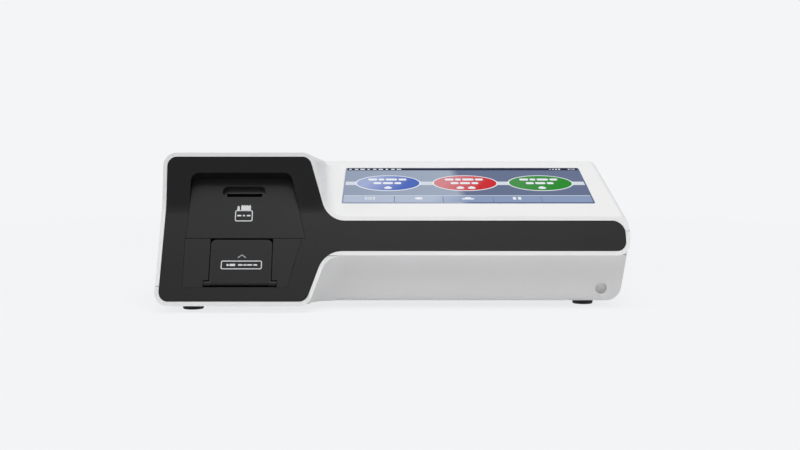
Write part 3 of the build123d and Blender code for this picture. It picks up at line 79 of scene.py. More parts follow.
# ------------------------------------------------------------------ shader maths
class Signal:
    """An output socket of a material's nodes, with Python's operators for its maths."""

    def __init__(self, graph: "Graph", socket: bpy.types.NodeSocket) -> None:
        """Keep the socket and the graph that it belongs to.

        Args:
            graph: The material's node builder.
            socket: The output that this signal stands for.
        """
        self.graph = graph
        self.socket = socket

    def _math(self, operation: str, *others: "Signal | float") -> "Signal":
        """Return one Math node on this signal and the others, in that order."""
        inputs = dict(enumerate((self, *others)))
        return self.graph.node("ShaderNodeMath", {"operation": operation}, inputs)

    def _reflected(self, operation: str, other: float) -> "Signal":
        """Return one Math node with the number first and this signal second."""
        return self.graph.node("ShaderNodeMath", {"operation": operation}, {0: other, 1: self})

    def __add__(self, other: "Signal | float") -> "Signal":
        """Return the sum."""
        return self._math("ADD", other)

    def __radd__(self, other: float) -> "Signal":
        """Return the sum with a number on the left."""
        return self._reflected("ADD", other)

    def __sub__(self, other: "Signal | float") -> "Signal":
        """Return the difference."""
        return self._math("SUBTRACT", other)

    def __rsub__(self, other: float) -> "Signal":
        """Return a number minus this signal."""
        return self._reflected("SUBTRACT", other)

    def __mul__(self, other: "Signal | float") -> "Signal":
        """Return the product."""
        return self._math("MULTIPLY", other)

    def __truediv__(self, other: "Signal | float") -> "Signal":
        """Return the quotient."""
        return self._math("DIVIDE", other)

    def __pow__(self, other: float) -> "Signal":
        """Return this signal raised to a power."""
        return self._math("POWER", other)

    def __abs__(self) -> "Signal":
        """Return the size without its sign."""
        return self._math("ABSOLUTE")

    def above(self, level: float) -> "Signal":
        """Return 1 where the signal is over a level, and 0 elsewhere."""
        return self._math("GREATER_THAN", level)

    def fraction(self) -> "Signal":
        """Return the part behind the decimal point."""
        return self._math("FRACT")

    def wave(self) -> "Signal":
        """Return the sine of the signal."""
        return self._math("SINE")

    def clamped(self) -> "Signal":
        """Return the signal held between 0 and 1."""
        return self.graph.node("ShaderNodeClamp", {}, {"Value": self})


class Graph:
    """Builds the nodes of one material."""

    def __init__(self, name: str) -> None:
        """Make an empty material with a Principled shader.

        Args:
            name: The material's name.
        """
        self.material = bpy.data.materials.new(name)
        self.material.use_nodes = True
        self.tree = self.material.node_tree
        self.tree.nodes.clear()
        self.shader = self.tree.nodes.new("ShaderNodeBsdfPrincipled")
        self.end = self.tree.nodes.new("ShaderNodeOutputMaterial")
        self.tree.links.new(self.shader.outputs["BSDF"], self.end.inputs["Surface"])

    def node(self, kind: str, settings: dict, inputs: dict, output: int | str = 0) -> Signal:
        """Add one node, set it up and feed it.

        Args:
            kind: The node's Blender type.
            settings: The node's own properties, set before its sockets.
            inputs: Values or signals by socket name or number.
            output: The output wanted.

        Returns:
            The chosen output as a signal.
        """
        item = self.tree.nodes.new(kind)
        for key, value in settings.items():
            setattr(item, key, value)
        for key, value in inputs.items():
            if isinstance(value, Signal):
                self.tree.links.new(value.socket, item.inputs[key])
            else:
                item.inputs[key].default_value = value
        return Signal(self, item.outputs[output])

    def place(self) -> Signal:
        """Return the point's object coordinates."""
        return self.node("ShaderNodeTexCoord", {}, {}, "Object")

    def axis(self, name: str) -> Signal:
        """Return one of the point's coordinates, "X", "Y" or "Z", in metres."""
        return self.node("ShaderNodeSeparateXYZ", {}, {"Vector": self.place()}, name)

    def stretched(self, scale: Point3) -> Signal:
        """Return the object coordinates stretched by a scale."""
        return self.node("ShaderNodeMapping", {}, {"Vector": self.place(), "Scale": scale})

    def noise(self, scale: float, detail: float, rough: float = 0.5,
              stretch: Point3 = (1.0, 1.0, 1.0)) -> Signal:
        """Return noise from 0 to 1.

        Args:
            scale: Cells per metre.
            detail: Octaves.
            rough: Weight of the finer octaves.
            stretch: Scale of the coordinates before the noise.

        Returns:
            The noise's value.
        """
        inputs = {"Vector": self.stretched(stretch), "Scale": scale, "Detail": detail,
                  "Roughness": rough}
        return self.node("ShaderNodeTexNoise", {}, inputs)

    def mix(self, factor: Signal, first: Colour, second: Colour) -> Signal:
        """Return the blend of two colours; the colour sockets of the node are 6, 7 and output 2."""
        inputs = {0: factor, 6: (*first, 1.0), 7: (*second, 1.0)}
        return self.node("ShaderNodeMix", {"data_type": "RGBA"}, inputs, 2)

    def bump(self, height: Signal, distance: float, strength: float) -> None:
        """Give the shader a bump of this height, in metres at a height of 1."""
        inputs = {"Height": height, "Distance": distance, "Strength": strength}
        self.feed("Normal", self.node("ShaderNodeBump", {}, inputs))

    def feed(self, socket: str, value: "Signal | float | Sequence[float]") -> None:
        """Set one of the shader's sockets to a value or link a signal to it."""
        if isinstance(value, Signal):
            self.tree.links.new(value.socket, self.shader.inputs[socket])
        else:
            self.shader.inputs[socket].default_value = value


# ------------------------------------------------------------------ finishes
# Depths and lengths are in metres, and the scales of noise in cells per metre.
def linear(value: int) -> float:
    """Return the linear level of an 8-bit screen level."""
    level = value / 255.0
    return level / 12.92 if level <= 0.04045 else ((level + 0.055) / 1.055) ** 2.4


def screen_colour(red: int, green: int, blue: int) -> Colour:
    """Return the linear colour of an 8-bit screen colour."""
    return (linear(red), linear(green), linear(blue))


class Lay(Enum):
    """Direction in which a metal's brushing runs."""

    ALONG_X = (0.04, 1.0, 1.0)
    ALONG_Y = (1.0, 0.04, 1.0)
    ALONG_Z = (1.0, 1.0, 0.04)


@dataclass(frozen=True)
class Moulding:
    """Injection-moulded plastic with a fine eroded grain."""

    name: str
    colour: Colour
    roughness: float = 0.42
    grain: float = 0.00002
    grain_scale: float = 2600.0
    grain_sway: float = 0.12
    grain_strength: float = 0.55
    cloud: float = 0.03
    cloud_scale: float = 18.0
    cloud_sway: float = 0.05
    specular: float = 0.5

    def build(self) -> bpy.types.Material:
        """Return the material: soft colour cloud, grain and slightly uneven gloss."""
        graph = Graph(self.name)
        cloud = graph.noise(self.cloud_scale, 3.0)
        dark = tuple(channel * (1.0 - self.cloud) for channel in self.colour)
        light = tuple(min(1.0, channel * (1.0 + self.cloud)) for channel in self.colour)
        graph.feed("Base Color", graph.mix(cloud, dark, light))
        grain = graph.noise(self.grain_scale, 2.0, 0.6)
        sway = (grain - 0.5) * self.grain_sway + (cloud - 0.5) * self.cloud_sway
        graph.feed("Roughness", (self.roughness + sway).clamped())
        graph.feed("Specular IOR Level", self.specular)
        graph.bump(grain, self.grain, self.grain_strength)
        return graph.material


@dataclass(frozen=True)
class Gloss:
    """Polished plastic with faint handling marks."""

    name: str
    colour: Colour
    roughness: float = 0.16
    smear_scale: float = 90.0
    smear_sway: float = 0.10
    smear_lift: float = 1.12
    ripple_scale: float = 700.0
    ripple: float = 0.00001
    ripple_strength: float = 0.3

    def build(self) -> bpy.types.Material:
        """Return the material: polished, with soft smears in its gloss."""
        graph = Graph(self.name)
        smear = graph.noise(self.smear_scale, 4.0, 0.6, (1.0, 3.0, 1.0))
        light = tuple(channel * self.smear_lift for channel in self.colour)
        graph.feed("Base Color", graph.mix(smear, self.colour, light))
        graph.feed("Roughness", (self.roughness + (smear - 0.5) * self.smear_sway).clamped())
        graph.bump(graph.noise(self.ripple_scale, 1.0), self.ripple, self.ripple_strength)
        return graph.material


@dataclass(frozen=True)
class Metal:
    """Sheet, bar or plated metal, brushed along one direction."""

    name: str
    colour: Colour
    roughness: float = 0.3
    lay: Lay = Lay.ALONG_X
    brushing: float = 0.12
    line_scale: float = 1400.0
    line_depth: float = 0.00001
    stain_scale: float = 45.0
    stain_sway: float = 0.08
    dulling: float = 0.86

    def build(self) -> bpy.types.Material:
        """Return the material: metallic, with brush lines in colour, gloss and bump."""
        graph = Graph(self.name)
        lines = graph.noise(self.line_scale, 2.0, 0.6, self.lay.value)
        stain = graph.noise(self.stain_scale, 3.0)
        dull = tuple(channel * self.dulling for channel in self.colour)
        shine = (lines * 0.5 + stain * 0.5).clamped()
        graph.feed("Base Color", graph.mix(shine, dull, self.colour))
        graph.feed("Metallic", 1.0)
        sway = (lines - 0.5) * self.brushing + (stain - 0.5) * self.stain_sway
        graph.feed("Roughness", (self.roughness + sway).clamped())
        graph.bump(lines, self.line_depth, 0.5)
        return graph.material


@dataclass(frozen=True)
class Soft:
    """Rubber or foam: dull, with a coarse open surface."""

    name: str
    colour: Colour
    roughness: float = 0.78
    pore_scale: float = 900.0
    depth: float = 0.00006
    pore_sway: float = 0.2
    pore_strength: float = 0.6
    bloom_scale: float = 60.0
    bloom_weight: float = 0.6
    bloom_lift: float = 1.6
    bloom_floor: float = 0.006

    def build(self) -> bpy.types.Material:
        """Return the material: dull, with pores and a dusty bloom on top."""
        graph = Graph(self.name)
        pores = graph.noise(self.pore_scale, 3.0, 0.65)
        bloom = graph.noise(self.bloom_scale, 4.0, 0.6)
        pale = tuple(channel * self.bloom_lift + self.bloom_floor for channel in self.colour)
        dust = (bloom * self.bloom_weight).clamped()
        graph.feed("Base Color", graph.mix(dust, self.colour, pale))
        graph.feed("Roughness", (self.roughness + (pores - 0.5) * self.pore_sway).clamped())
        graph.bump(pores, self.depth, self.pore_strength)
        return graph.material


@dataclass(frozen=True)
class CircuitBoard:
    """Green board with copper tracks under the mask."""

    name: str
    mask: Colour
    copper: Colour
    lines_x: float = 420.0
    lines_y: float = 380.0
    patch_x: float = 38.0
    patch_y: float = 52.0
    bend_scale: float = 55.0
    bend_x: float = 4.0
    bend_y: float = 5.0
    roughness: float = 0.28
    copper_roughness: float = 0.08
    copper_show: float = 0.7
    track_height: float = 0.00003

    def build(self) -> bpy.types.Material:
        """Return the material: tracks along X and Y that show through the mask."""
        graph = Graph(self.name)
        bend = graph.noise(self.bend_scale, 1.0)
        along = (graph.axis("X") * self.lines_x + bend * self.bend_x).fraction() - 0.5
        across = (graph.axis("Y") * self.lines_y + bend * self.bend_y).fraction() - 0.5
        tracks_y = abs(along).above(0.36) * graph.noise(self.patch_x, 0.0).above(0.5)
        tracks_x = abs(across).above(0.38) * graph.noise(self.patch_y, 0.0).above(0.52)
        tracks = (tracks_y + tracks_x).clamped()
        graph.feed("Base Color", graph.mix(tracks * self.copper_show, self.mask, self.copper))
        graph.feed("Roughness", self.roughness + tracks * self.copper_roughness)
        graph.bump(tracks, self.track_height, 0.7)
        return graph.material


@dataclass(frozen=True)
class Sheet:
    """Paper or card with short fibres."""

    name: str
    colour: Colour
    turns: float = 0.0
    fibre_scale: float = 1500.0
    fibre_depth: float = 0.00002
    fibre_shade: float = 0.25
    roughness: float = 0.72
    fibre_sway: float = 0.15
    darkening: float = 0.8

    def build(self) -> bpy.types.Material:
        """Return the material: fibres, and the edges of the wound turns on a roll's ends."""
        graph = Graph(self.name)
        fibre = graph.noise(self.fibre_scale, 4.0, 0.7, (1.0, 0.35, 0.35))
        shade = fibre * self.fibre_shade
        if self.turns:
            lines = (graph.noise(self.turns, 1.0, 0.4, (0.02, 1.0, 1.0)) - 0.5) * 0.5
            shade = (shade + abs(lines)).clamped()
        dark = tuple(channel * self.darkening for channel in self.colour)
        graph.feed("Base Color", graph.mix(shade, self.colour, dark))
        graph.feed("Roughness", self.roughness + fibre * self.fibre_sway)
        graph.bump(fibre, self.fibre_depth, 0.5)
        return graph.material


@dataclass(frozen=True)
class ClearGlass:
    """Coated glass of a lens."""

    name: str
    tint: Colour
    coat_scale: float = 120.0
    coat_shade: float = 0.8
    roughness: float = 0.04
    coat_sway: float = 0.03
    clear: float = 0.7
    index: float = 1.5

    def build(self) -> bpy.types.Material:
        """Return the material: clear, with a faint coating that varies over the glass."""
        graph = Graph(self.name)
        coat = graph.noise(self.coat_scale, 2.0)
        dark = tuple(channel * self.coat_shade for channel in self.tint)
        graph.feed("Base Color", graph.mix(coat, self.tint, dark))
        graph.feed("Roughness", self.roughness + coat * self.coat_sway)
        graph.feed("Transmission Weight", self.clear)
        graph.feed("IOR", self.index)
        return graph.material


UNLIT_GLASS = (0.012, 0.012, 0.014, 1.0)
GLASS_ROUGHNESS = 0.16
GLASS_SMEAR = 0.08
GLASS_SMEAR_SCALE = 60.0


def show_lit(graph: Graph, colour: Signal) -> None:
    """Feed a colour to the shader as the light of a display under dark anti-glare glass."""
    graph.feed("Base Color", UNLIT_GLASS)
    graph.feed("Emission Color", colour)
    graph.feed("Emission Strength", 1.0)
    graph.feed("Roughness", GLASS_ROUGHNESS + graph.noise(GLASS_SMEAR_SCALE, 3.0) * GLASS_SMEAR)
    graph.feed("Specular IOR Level", 0.0)


@dataclass(frozen=True)
class DisplayPanel:
    """Lit ground behind the touch glass: slate, with a painted reflection, a pale sheen left of a
    line.
    """

    name: str
    pale: Colour
    dark: Colour
    middle: Point2
    size: Point2
    # The pale side left of the line is painted reflection: a step of this size towards the dark
    # colour at the line, and a darker fade towards the left edge.
    line: float = 0.47
    reflection_edge_lean: float = 0.035
    reflection_edge_sharpness: float = 26.0
    step: float = 0.85
    reflection_fade: float = 0.5
    reflection_fade_end: float = 0.45
    cloud: float = 0.06
    cloud_scale: float = 14.0
    cell: float = 0.0006
    cell_shade: float = 0.02

    def build(self) -> bpy.types.Material:
        """Return the material: the painted reflection's step at the line and its darker fade
        towards the left edge, soft clouds and the display's cells.
        """
        graph = Graph(self.name)
        across = (graph.axis("X") - (self.middle[0] - self.size[0] / 2)) / self.size[0]
        back = (graph.axis("Y") - (self.middle[1] - self.size[1] / 2)) / self.size[1]
        # Painted reflection: pale left of a slightly leaning line, fading darker towards the left
        # edge.
        past_reflection_edge = ((across + back * self.reflection_edge_lean - self.line) * self.reflection_edge_sharpness).clamped()
        reflection_fade = (self.reflection_fade_end - across).clamped() * self.reflection_fade
        cloud = graph.noise(self.cloud_scale, 2.0) * self.cloud
        shade = (past_reflection_edge * self.step + reflection_fade + cloud).clamped()
        cells = (graph.axis("X") * (math.tau / self.cell)).wave() * self.cell_shade
        show_lit(graph, graph.mix((shade + cells).clamped(), self.pale, self.dark))
        return graph.material


@dataclass(frozen=True)
class Ink:
    """Printed flat colour."""

    name: str
    colour: Colour
    roughness: float = 0.4
    mottle: float = 0.06
    mottle_scale: float = 900.0
    mottle_sway: float = 0.08

    def build(self) -> bpy.types.Material:
        """Return the material: even ink with a fine mottle."""
        graph = Graph(self.name)
        mottle = graph.noise(self.mottle_scale, 2.0)
        dark = tuple(channel * 0.5 for channel in self.colour)
        graph.feed("Base Color", graph.mix(mottle * self.mottle, self.colour, dark))
        graph.feed("Roughness", self.roughness + mottle * self.mottle_sway)
        return graph.material


@dataclass(frozen=True)
class Lit:
    """Colour of the lit picture, with a painted reflection if wanted: a pale sheen that fades from
    left to right.
    """

    name: str
    colour: Colour
    # Strength of the painted reflection, a pale sheen over the left of the shape.
    painted_sheen: float = 0.0
    middle: Point2 = (0.0, 0.0)
    painted_sheen_colour: Colour = (0.8, 0.84, 0.9)
    fall_x: float = 40.0
    fall_y: float = 14.0
    mottle: float = 0.04
    mottle_scale: float = 700.0

    def build(self) -> bpy.types.Material:
        """Return the material: the colour glows, with its painted reflection sheen and a fine
        mottle.
        """
        graph = Graph(self.name)
        amount = graph.noise(self.mottle_scale, 2.0) * self.mottle
        # Painted reflection: the colour turns pale left of the middle and fades out to the right.
        if self.painted_sheen:
            right = (graph.axis("X") - self.middle[0]) * self.fall_x
            side = right - (graph.axis("Y") - self.middle[1]) * self.fall_y
            amount = (amount + (0.5 - side).clamped() * self.painted_sheen).clamped()
        show_lit(graph, graph.mix(amount, self.colour, self.painted_sheen_colour))
        return graph.material


# ------------------------------------------------------------------ drawing on planes
@dataclass(frozen=True)
class Plane:
    """Flat place on the reader: an origin in mm, and its directions."""

    origin: Vector
    right: Vector
    up: Vector

    @property
    def out(self) -> Vector:
        """Return the direction out of the surface."""
        return self.right.cross(self.up)

    def matrix(self, across: float, along: float, lift: float) -> Matrix:
        """Return the transform from a drawing at 0, 0 to its place.

        Args:
            across: Place to the right, in mm.
            along: Place up the plane, in mm.
            lift: Height over the plane, in mm.

        Returns:
            The transform, in metres.
        """
        at = self.origin + self.right * across + self.up * along + self.out * lift
        axes = Matrix((self.right, self.up, self.out)).transposed().to_4x4()
        return Matrix.Translation(at * MM) @ axes


def tilted_plane(origin: Point3, degrees: float) -> Plane:
    """Return a plane that faces the user, leaning back by an angle from level."""
    angle = math.radians(degrees)
    return Plane(Vector(origin), Vector((1, 0, 0)), Vector((0, math.cos(angle), math.sin(angle))))


FRONT_SLOPE = 29.1
FRONT_FOOT = (0.0, -110.0, 4.0)
DECK_TILT = 12.1
DECK_EDGE = (0.0, -82.56, 53.3)
SLOPE = tilted_plane(FRONT_FOOT, 90.0 - FRONT_SLOPE)
DECK = tilted_plane(DECK_EDGE, DECK_TILT)
CORNER_SEGMENTS = 6
SMALL_SIDES = 24


def select_only(*items: bpy.types.Object) -> None:
    """Select these objects alone, the last of them active."""
    bpy.ops.object.select_all(action="DESELECT")
    for item in items:
        item.select_set(True)
        bpy.context.view_layer.objects.active = item


def baked(item: bpy.types.Object) -> bpy.types.Object:
    """Put an object's place, turn and size into its mesh and leave it at the origin."""
    select_only(item)
    bpy.ops.object.transform_apply(location=True, rotation=True, scale=True)
    return item


def settle(item: bpy.types.Object, matrix: Matrix) -> None:
    """Move a drawing from the origin to its place on the reader."""
    item.matrix_world = matrix @ item.matrix_basis
    baked(item)


def dress(item: bpy.types.Object, name: str, material: bpy.types.Material, body: str) -> None:
    """Name a new piece, give it its finish and make it ride on its body.

    Args:
        item: The finished object.
        name: The piece's name.
        material: Its finish.
        body: The body that it moves with.
    """
    item.name = name
    item.data.name = name
    item.data.materials.clear()
    item.data.materials.append(material)
    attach(item, body)
    LOG.info("piece %s on %s, %d faces", name, body, len(item.data.polygons))


def edit(item: bpy.types.Object, work: Callable[[], None]) -> None:
    """Run operators on an object in edit mode with all of it selected."""
    select_only(item)
    bpy.ops.object.mode_set(mode="EDIT")
    bpy.ops.mesh.select_all(action="SELECT")
    work()
    bpy.ops.object.mode_set(mode="OBJECT")


def joined(items: list[bpy.types.Object]) -> bpy.types.Object:
    """Return several objects joined into the first."""
    if len(items) > 1:
        select_only(*items[1:], items[0])
        bpy.ops.object.join()
    return items[0]


def disc(size: Point2, sides: int) -> bpy.types.Object:
    """Return a flat oval of full width and height in mm, lying at the origin."""
    bpy.ops.mesh.primitive_circle_add(vertices=sides, radius=0.5 * MM, fill_type="NGON")
    item = bpy.context.object
    item.scale = (*size, 1.0)
    return baked(item)


def plate(size: Point2, radius: float = 0.0) -> bpy.types.Object:
    """Return a flat rectangle with rounded corners, in mm, lying at the origin."""
    bpy.ops.mesh.primitive_plane_add(size=MM)
    item = bpy.context.object
    item.scale = (*size, 1.0)
    baked(item)
    if radius:
        corners = {"offset": radius * MM, "segments": CORNER_SEGMENTS, "affect": "VERTICES"}
        edit(item, lambda: bpy.ops.mesh.bevel(**corners))
    return item


def hollow(item: bpy.types.Object, width: float) -> bpy.types.Object:
    """Turn a flat shape into its outline, a line of this width in mm inside its edge."""
    def work() -> None:
        """Inset the face and delete the middle."""
        bpy.ops.mesh.inset(thickness=width * MM)
        bpy.ops.mesh.delete(type="FACE")
    edit(item, work)
    return item


def moved(item: bpy.types.Object, across: float, along: float,
          turn: float = 0.0) -> bpy.types.Object:
    """Shift and turn a flat drawing within its plane, in mm and degrees."""
    item.matrix_world = (Matrix.Translation((across * MM, along * MM, 0.0))
                         @ Matrix.Rotation(math.radians(turn), 4, "Z"))
    return baked(item)


def raised(item: bpy.types.Object, thick: float) -> bpy.types.Object:
    """Give a flat drawing a thickness in mm, upwards, with closed sides."""
    def work() -> None:
        """Draw the faces up and turn all normals outwards."""
        bpy.ops.mesh.extrude_region_move(TRANSFORM_OT_translate={"value": (0.0, 0.0, thick * MM)})
        bpy.ops.mesh.select_all(action="SELECT")
        bpy.ops.mesh.normals_make_consistent(inside=False)
    edit(item, work)
    return item


# ------------------------------------------------------------------ sub-assemblies
@dataclass
class Finishes:
    """Every finish of the reader, made once and looked up by name."""

    made: dict[str, bpy.types.Material] = field(default_factory=dict)

    def build(self) -> None:
        """Make all the materials."""
        white = screen_colour(244, 244, 244)
        black = screen_colour(22, 22, 23)
        table = [
            Moulding("housing_white", white, 0.38, cloud=0.012, specular=0.4),
            # A slightly darker copy of the housing white, darkened as painted shade for the shaded
            # lower front.
            Moulding("base_grey_white", screen_colour(236, 236, 236), 0.42, cloud=0.015),
            Moulding("fascia_black", black, 0.42, grain=0.000012, cloud=0.05, specular=0.35),
            Moulding("port_grey", screen_colour(44, 44, 46), 0.34, grain=0.000008, cloud=0.06),
            Moulding("panel_black", screen_colour(27, 27, 28), 0.46, grain=0.000012, cloud=0.05,
                     specular=0.35),
            Moulding("inner_black", screen_colour(24, 24, 26), 0.5, cloud=0.08),
            Moulding("tray_grey", screen_colour(92, 95, 100), 0.46, cloud=0.05),
            Moulding("button_grey", screen_colour(120, 124, 130), 0.42, cloud=0.03),
            Moulding("gear_acetal", screen_colour(238, 236, 226), 0.34, cloud=0.04),
            Gloss("polished_black", screen_colour(22, 22, 24)),
            Gloss("chip_package", screen_colour(30, 30, 32), 0.38),
            Metal("zinc_sheet", screen_colour(196, 197, 200), 0.34, Lay.ALONG_X),
            Metal("plated_pin", screen_colour(214, 214, 216), 0.14, Lay.ALONG_X, 0.05),
            Metal("milled_aluminium", screen_colour(205, 207, 210), 0.32, Lay.ALONG_X),
            Metal("plated_brass", screen_colour(206, 176, 104), 0.26, Lay.ALONG_Y),
            Metal("screw_steel", screen_colour(172, 173, 176), 0.3, Lay.ALONG_Z, 0.08),
            Metal("painted_can", screen_colour(52, 53, 56), 0.42, Lay.ALONG_Y, 0.05),
            Metal("black_anodised", screen_colour(44, 44, 47), 0.46, Lay.ALONG_Y, 0.08),
            Soft("foot_rubber", screen_colour(34, 34, 35)),
            Soft("gasket_foam", screen_colour(38, 38, 40), 0.9, 500.0, 0.00015),
            Soft("roller_rubber", screen_colour(30, 30, 31), 0.6, 1800.0, 0.00002),
            CircuitBoard("board_green", screen_colour(24, 96, 54), screen_colour(70, 150, 84)),
            Sheet("thermal_paper", screen_colour(246, 246, 242), 2400.0),
            Sheet("card_tube", screen_colour(188, 168, 136)),
            ClearGlass("lens_glass", screen_colour(206, 220, 232)),
            # The touch screen's pale left side is a painted reflection.
            DisplayPanel("touch_screen", screen_colour(160, 172, 190), screen_colour(88, 100, 132),
                         (0.045, -0.0147), (0.154, 0.083)),
            Ink("ink_white", screen_colour(226, 228, 230)),
            Ink("ink_grey", screen_colour(176, 178, 181)),
            Lit("lit_bar", screen_colour(212, 218, 228)),
            # The sheen numbers of these lit colours are painted reflection.
            Lit("lit_foot_bar", screen_colour(132, 150, 184), 0.35, (0.035, -0.048)),
            Lit("lit_line", screen_colour(110, 124, 156)),
            Lit("lit_status", screen_colour(8, 14, 44)),
            Lit("lit_white", screen_colour(232, 236, 242)),
            Lit("lit_blue", screen_colour(66, 98, 182), 0.38, (-0.004, -0.0105)),
            Lit("lit_red", screen_colour(200, 14, 24), 0.26, (0.0452, -0.0105)),
            Lit("lit_green", screen_colour(12, 132, 16), 0.05, (0.0932, -0.0105)),
        ]
        for finish in table:
            self.made[finish.name] = finish.build()

    def __getitem__(self, name: str) -> bpy.types.Material:
        """Return a finish by its name."""
        return self.made[name]


@dataclass
class NodeDress:
    """Gives every CAD node its finish."""

    finishes: Finishes
    table: dict[str, str] = field(default_factory=lambda: {
        # The base shell's white is darkened as painted shade.
        "base_shell": "base_grey_white", "top_shell": "housing_white",
        "front_fascia": "fascia_black", "chip_panel": "panel_black", "chip_port": "port_grey",
        "chip_socket": "inner_black", "chip_board": "board_green",
        "door_surround": "panel_black", "door_hinge_pin": "black_anodised",
        "tray_door": "panel_black", "cartridge_tray": "tray_grey", "tray_rack": "gear_acetal",
        "tray_guide": "inner_black", "home_sensor": "inner_black",
        "drive_pinion": "gear_acetal", "pinion_shaft": "plated_pin",
        "motor_bracket": "zinc_sheet", "tray_motor": "painted_can",
        "optics_block": "black_anodised", "optics_lens": "lens_glass",
        "detector_cap": "painted_can", "lamp_module": "milled_aluminium",
        "touch_glass": "touch_screen", "screen_gasket": "gasket_foam",
        "display_module": "painted_can", "display_brackets": "zinc_sheet",
        "printer_lid": "housing_white", "lid_hinge_pin": "plated_pin",
        "platen_roller": "roller_rubber", "platen_shaft": "plated_pin",
        "platen_gear": "gear_acetal", "print_drive_gear": "gear_acetal",
        "print_gearbox": "inner_black", "print_head": "milled_aluminium",
        "tear_bar": "zinc_sheet", "paper_bucket": "tray_grey", "paper_roll": "thermal_paper",
        "roll_core": "card_tube", "release_button": "button_grey",
        "button_carrier": "tray_grey", "main_board": "board_green",
        "board_parts": "chip_package", "board_screws": "screw_steel",
        "lan_socket": "zinc_sheet", "usb_sockets": "zinc_sheet", "serial_port": "zinc_sheet",
        "serial_port_screws": "plated_brass", "power_inlet": "polished_black",
        "switch_housing": "polished_black", "power_rocker": "polished_black",
        "speaker": "painted_can", "rubber_feet": "foot_rubber", "case_screws": "screw_steel",
    })

    def build(self) -> None:
        """Put each node's material into its slots."""
        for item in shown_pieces():
            finish = self.table[item["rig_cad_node"]]
            item.data.materials.clear()
            item.data.materials.append(self.finishes[finish])
            LOG.info("node %s in %s", item.name, finish)


@dataclass
class FrontSigns:
    """White signs printed on the recess floor and on the cartridge door; sizes in mm."""

    finishes: Finishes
    centre: float = -89.0
    lift: float = 0.01
    ink: float = 0.03
    line: float = 0.55
    mark: float = 0.9
    mark_radius: float = 0.3
    card_size: Point2 = (10.4, 7.2)
    card_radius: float = 1.2
    card_place: Point2 = (-88.5, 56.8)
    card_marks: tuple[float, ...] = (2.4, 1.3, 2.2)
    card_mark_place: Point2 = (-2.7, 0.1)
    card_mark_pitch: float = 2.75
    comb_size: Point2 = (5.7, 3.0)
    comb_place: Point2 = (1.1, 1.3)
    tooth_size: Point2 = (0.8, 0.6)
    tooth_place: Point2 = (-1.2, 3.0)
    tooth_pitch: float = 1.5
    teeth: int = 4
    post_size: Point2 = (1.4, 2.4)
    post_place: Point2 = (-3.3, 1.0)
    post_head: Point2 = (1.0, 1.0)
    post_head_rise: float = 1.2
    door_sign: Point2 = (23.8, 5.4)
    door_place: Point2 = (0.4, 25.5)
    well_size: Point2 = (1.4, 1.4)
    well_place: float = -8.0
    window_size: Point2 = (3.3, 1.4)
    window_place: float = -5.2
    door_marks: tuple[float, ...] = (2.6, 1.8, 3.1, 2.3)
    door_mark_start: float = -1.9
    door_mark_step: float = 1.18
    arrow_arm: float = 3.1
    arrow_half: float = 1.1
    arrow_turn: float = 38.0
    arrow_place: Point2 = (0.5, 31.0)

    def _mark(self, length: float, across: float, along: float = 0.0) -> bpy.types.Object:
        """Draw one plain rounded line, which stands in place of a word."""
        return moved(plate((length, self.mark), self.mark_radius), across, along)

    def _on_door(self, place: Point2) -> Matrix:
        """Return the transform to a place on the door, from its middle and up the slope."""
        return SLOPE.matrix(self.centre + place[0], place[1], self.lift)

    def chip_sign(self) -> None:
        """Print the card outline with its comb and post, and plain lines in place of words."""
        top = self.card_size[1] / 2
        parts = [hollow(plate(self.card_size, self.card_radius), self.line)]
        across, over = self.comb_place
        parts.append(moved(plate(self.comb_size, self.mark_radius), across, top + over))
        across, over = self.tooth_place
        for step in range(self.teeth):
            tooth = plate(self.tooth_size)
            parts.append(moved(tooth, across + self.tooth_pitch * step, top + over))
        across, over = self.post_place
        parts.append(moved(plate(self.post_size, self.mark_radius), across, top + over))
        head = top + over + self.post_head_rise
        parts.append(moved(plate(self.post_head), across, head, 45.0))
        across, over = self.card_mark_place
        for step, length in enumerate(self.card_marks):
            parts.append(self._mark(length, across + self.card_mark_pitch * step, over))
        sign = raised(joined(parts), self.ink)
        settle(sign, SLOPE.matrix(*self.card_place, self.lift))
        dress(sign, "chip_sign", self.finishes["ink_white"], "housing")

    def cartridge_sign(self) -> None:
        """Print the cartridge with its well and window, and plain lines, on the door."""
        parts = [hollow(plate(self.door_sign, 1.0), self.line)]
        parts.append(moved(disc(self.well_size, SMALL_SIDES), self.well_place, 0.0))
        parts.append(moved(plate(self.window_size, 0.4), self.window_place, 0.0))
        start = self.door_mark_start
        for length in self.door_marks:
            parts.append(self._mark(length, start + length / 2))
            start += length * self.door_mark_step
        sign = raised(joined(parts), self.ink)
        settle(sign, self._on_door(self.door_place))
        dress(sign, "cartridge_sign", self.finishes["ink_white"], "door")

    def arrow(self) -> None:
        """Print the arrowhead over the cartridge sign."""
        arms = [moved(plate((self.arrow_arm, self.line), 0.2), side * self.arrow_half, 0.0,
                      -side * self.arrow_turn) for side in (-1, 1)]
        arrow = raised(joined(arms), self.ink)
        settle(arrow, self._on_door(self.arrow_place))
        dress(arrow, "door_arrow", self.finishes["ink_grey"], "door")

    def build(self) -> None:
        """Print all the signs of the front."""
        self.chip_sign()
        self.cartridge_sign()
        self.arrow()


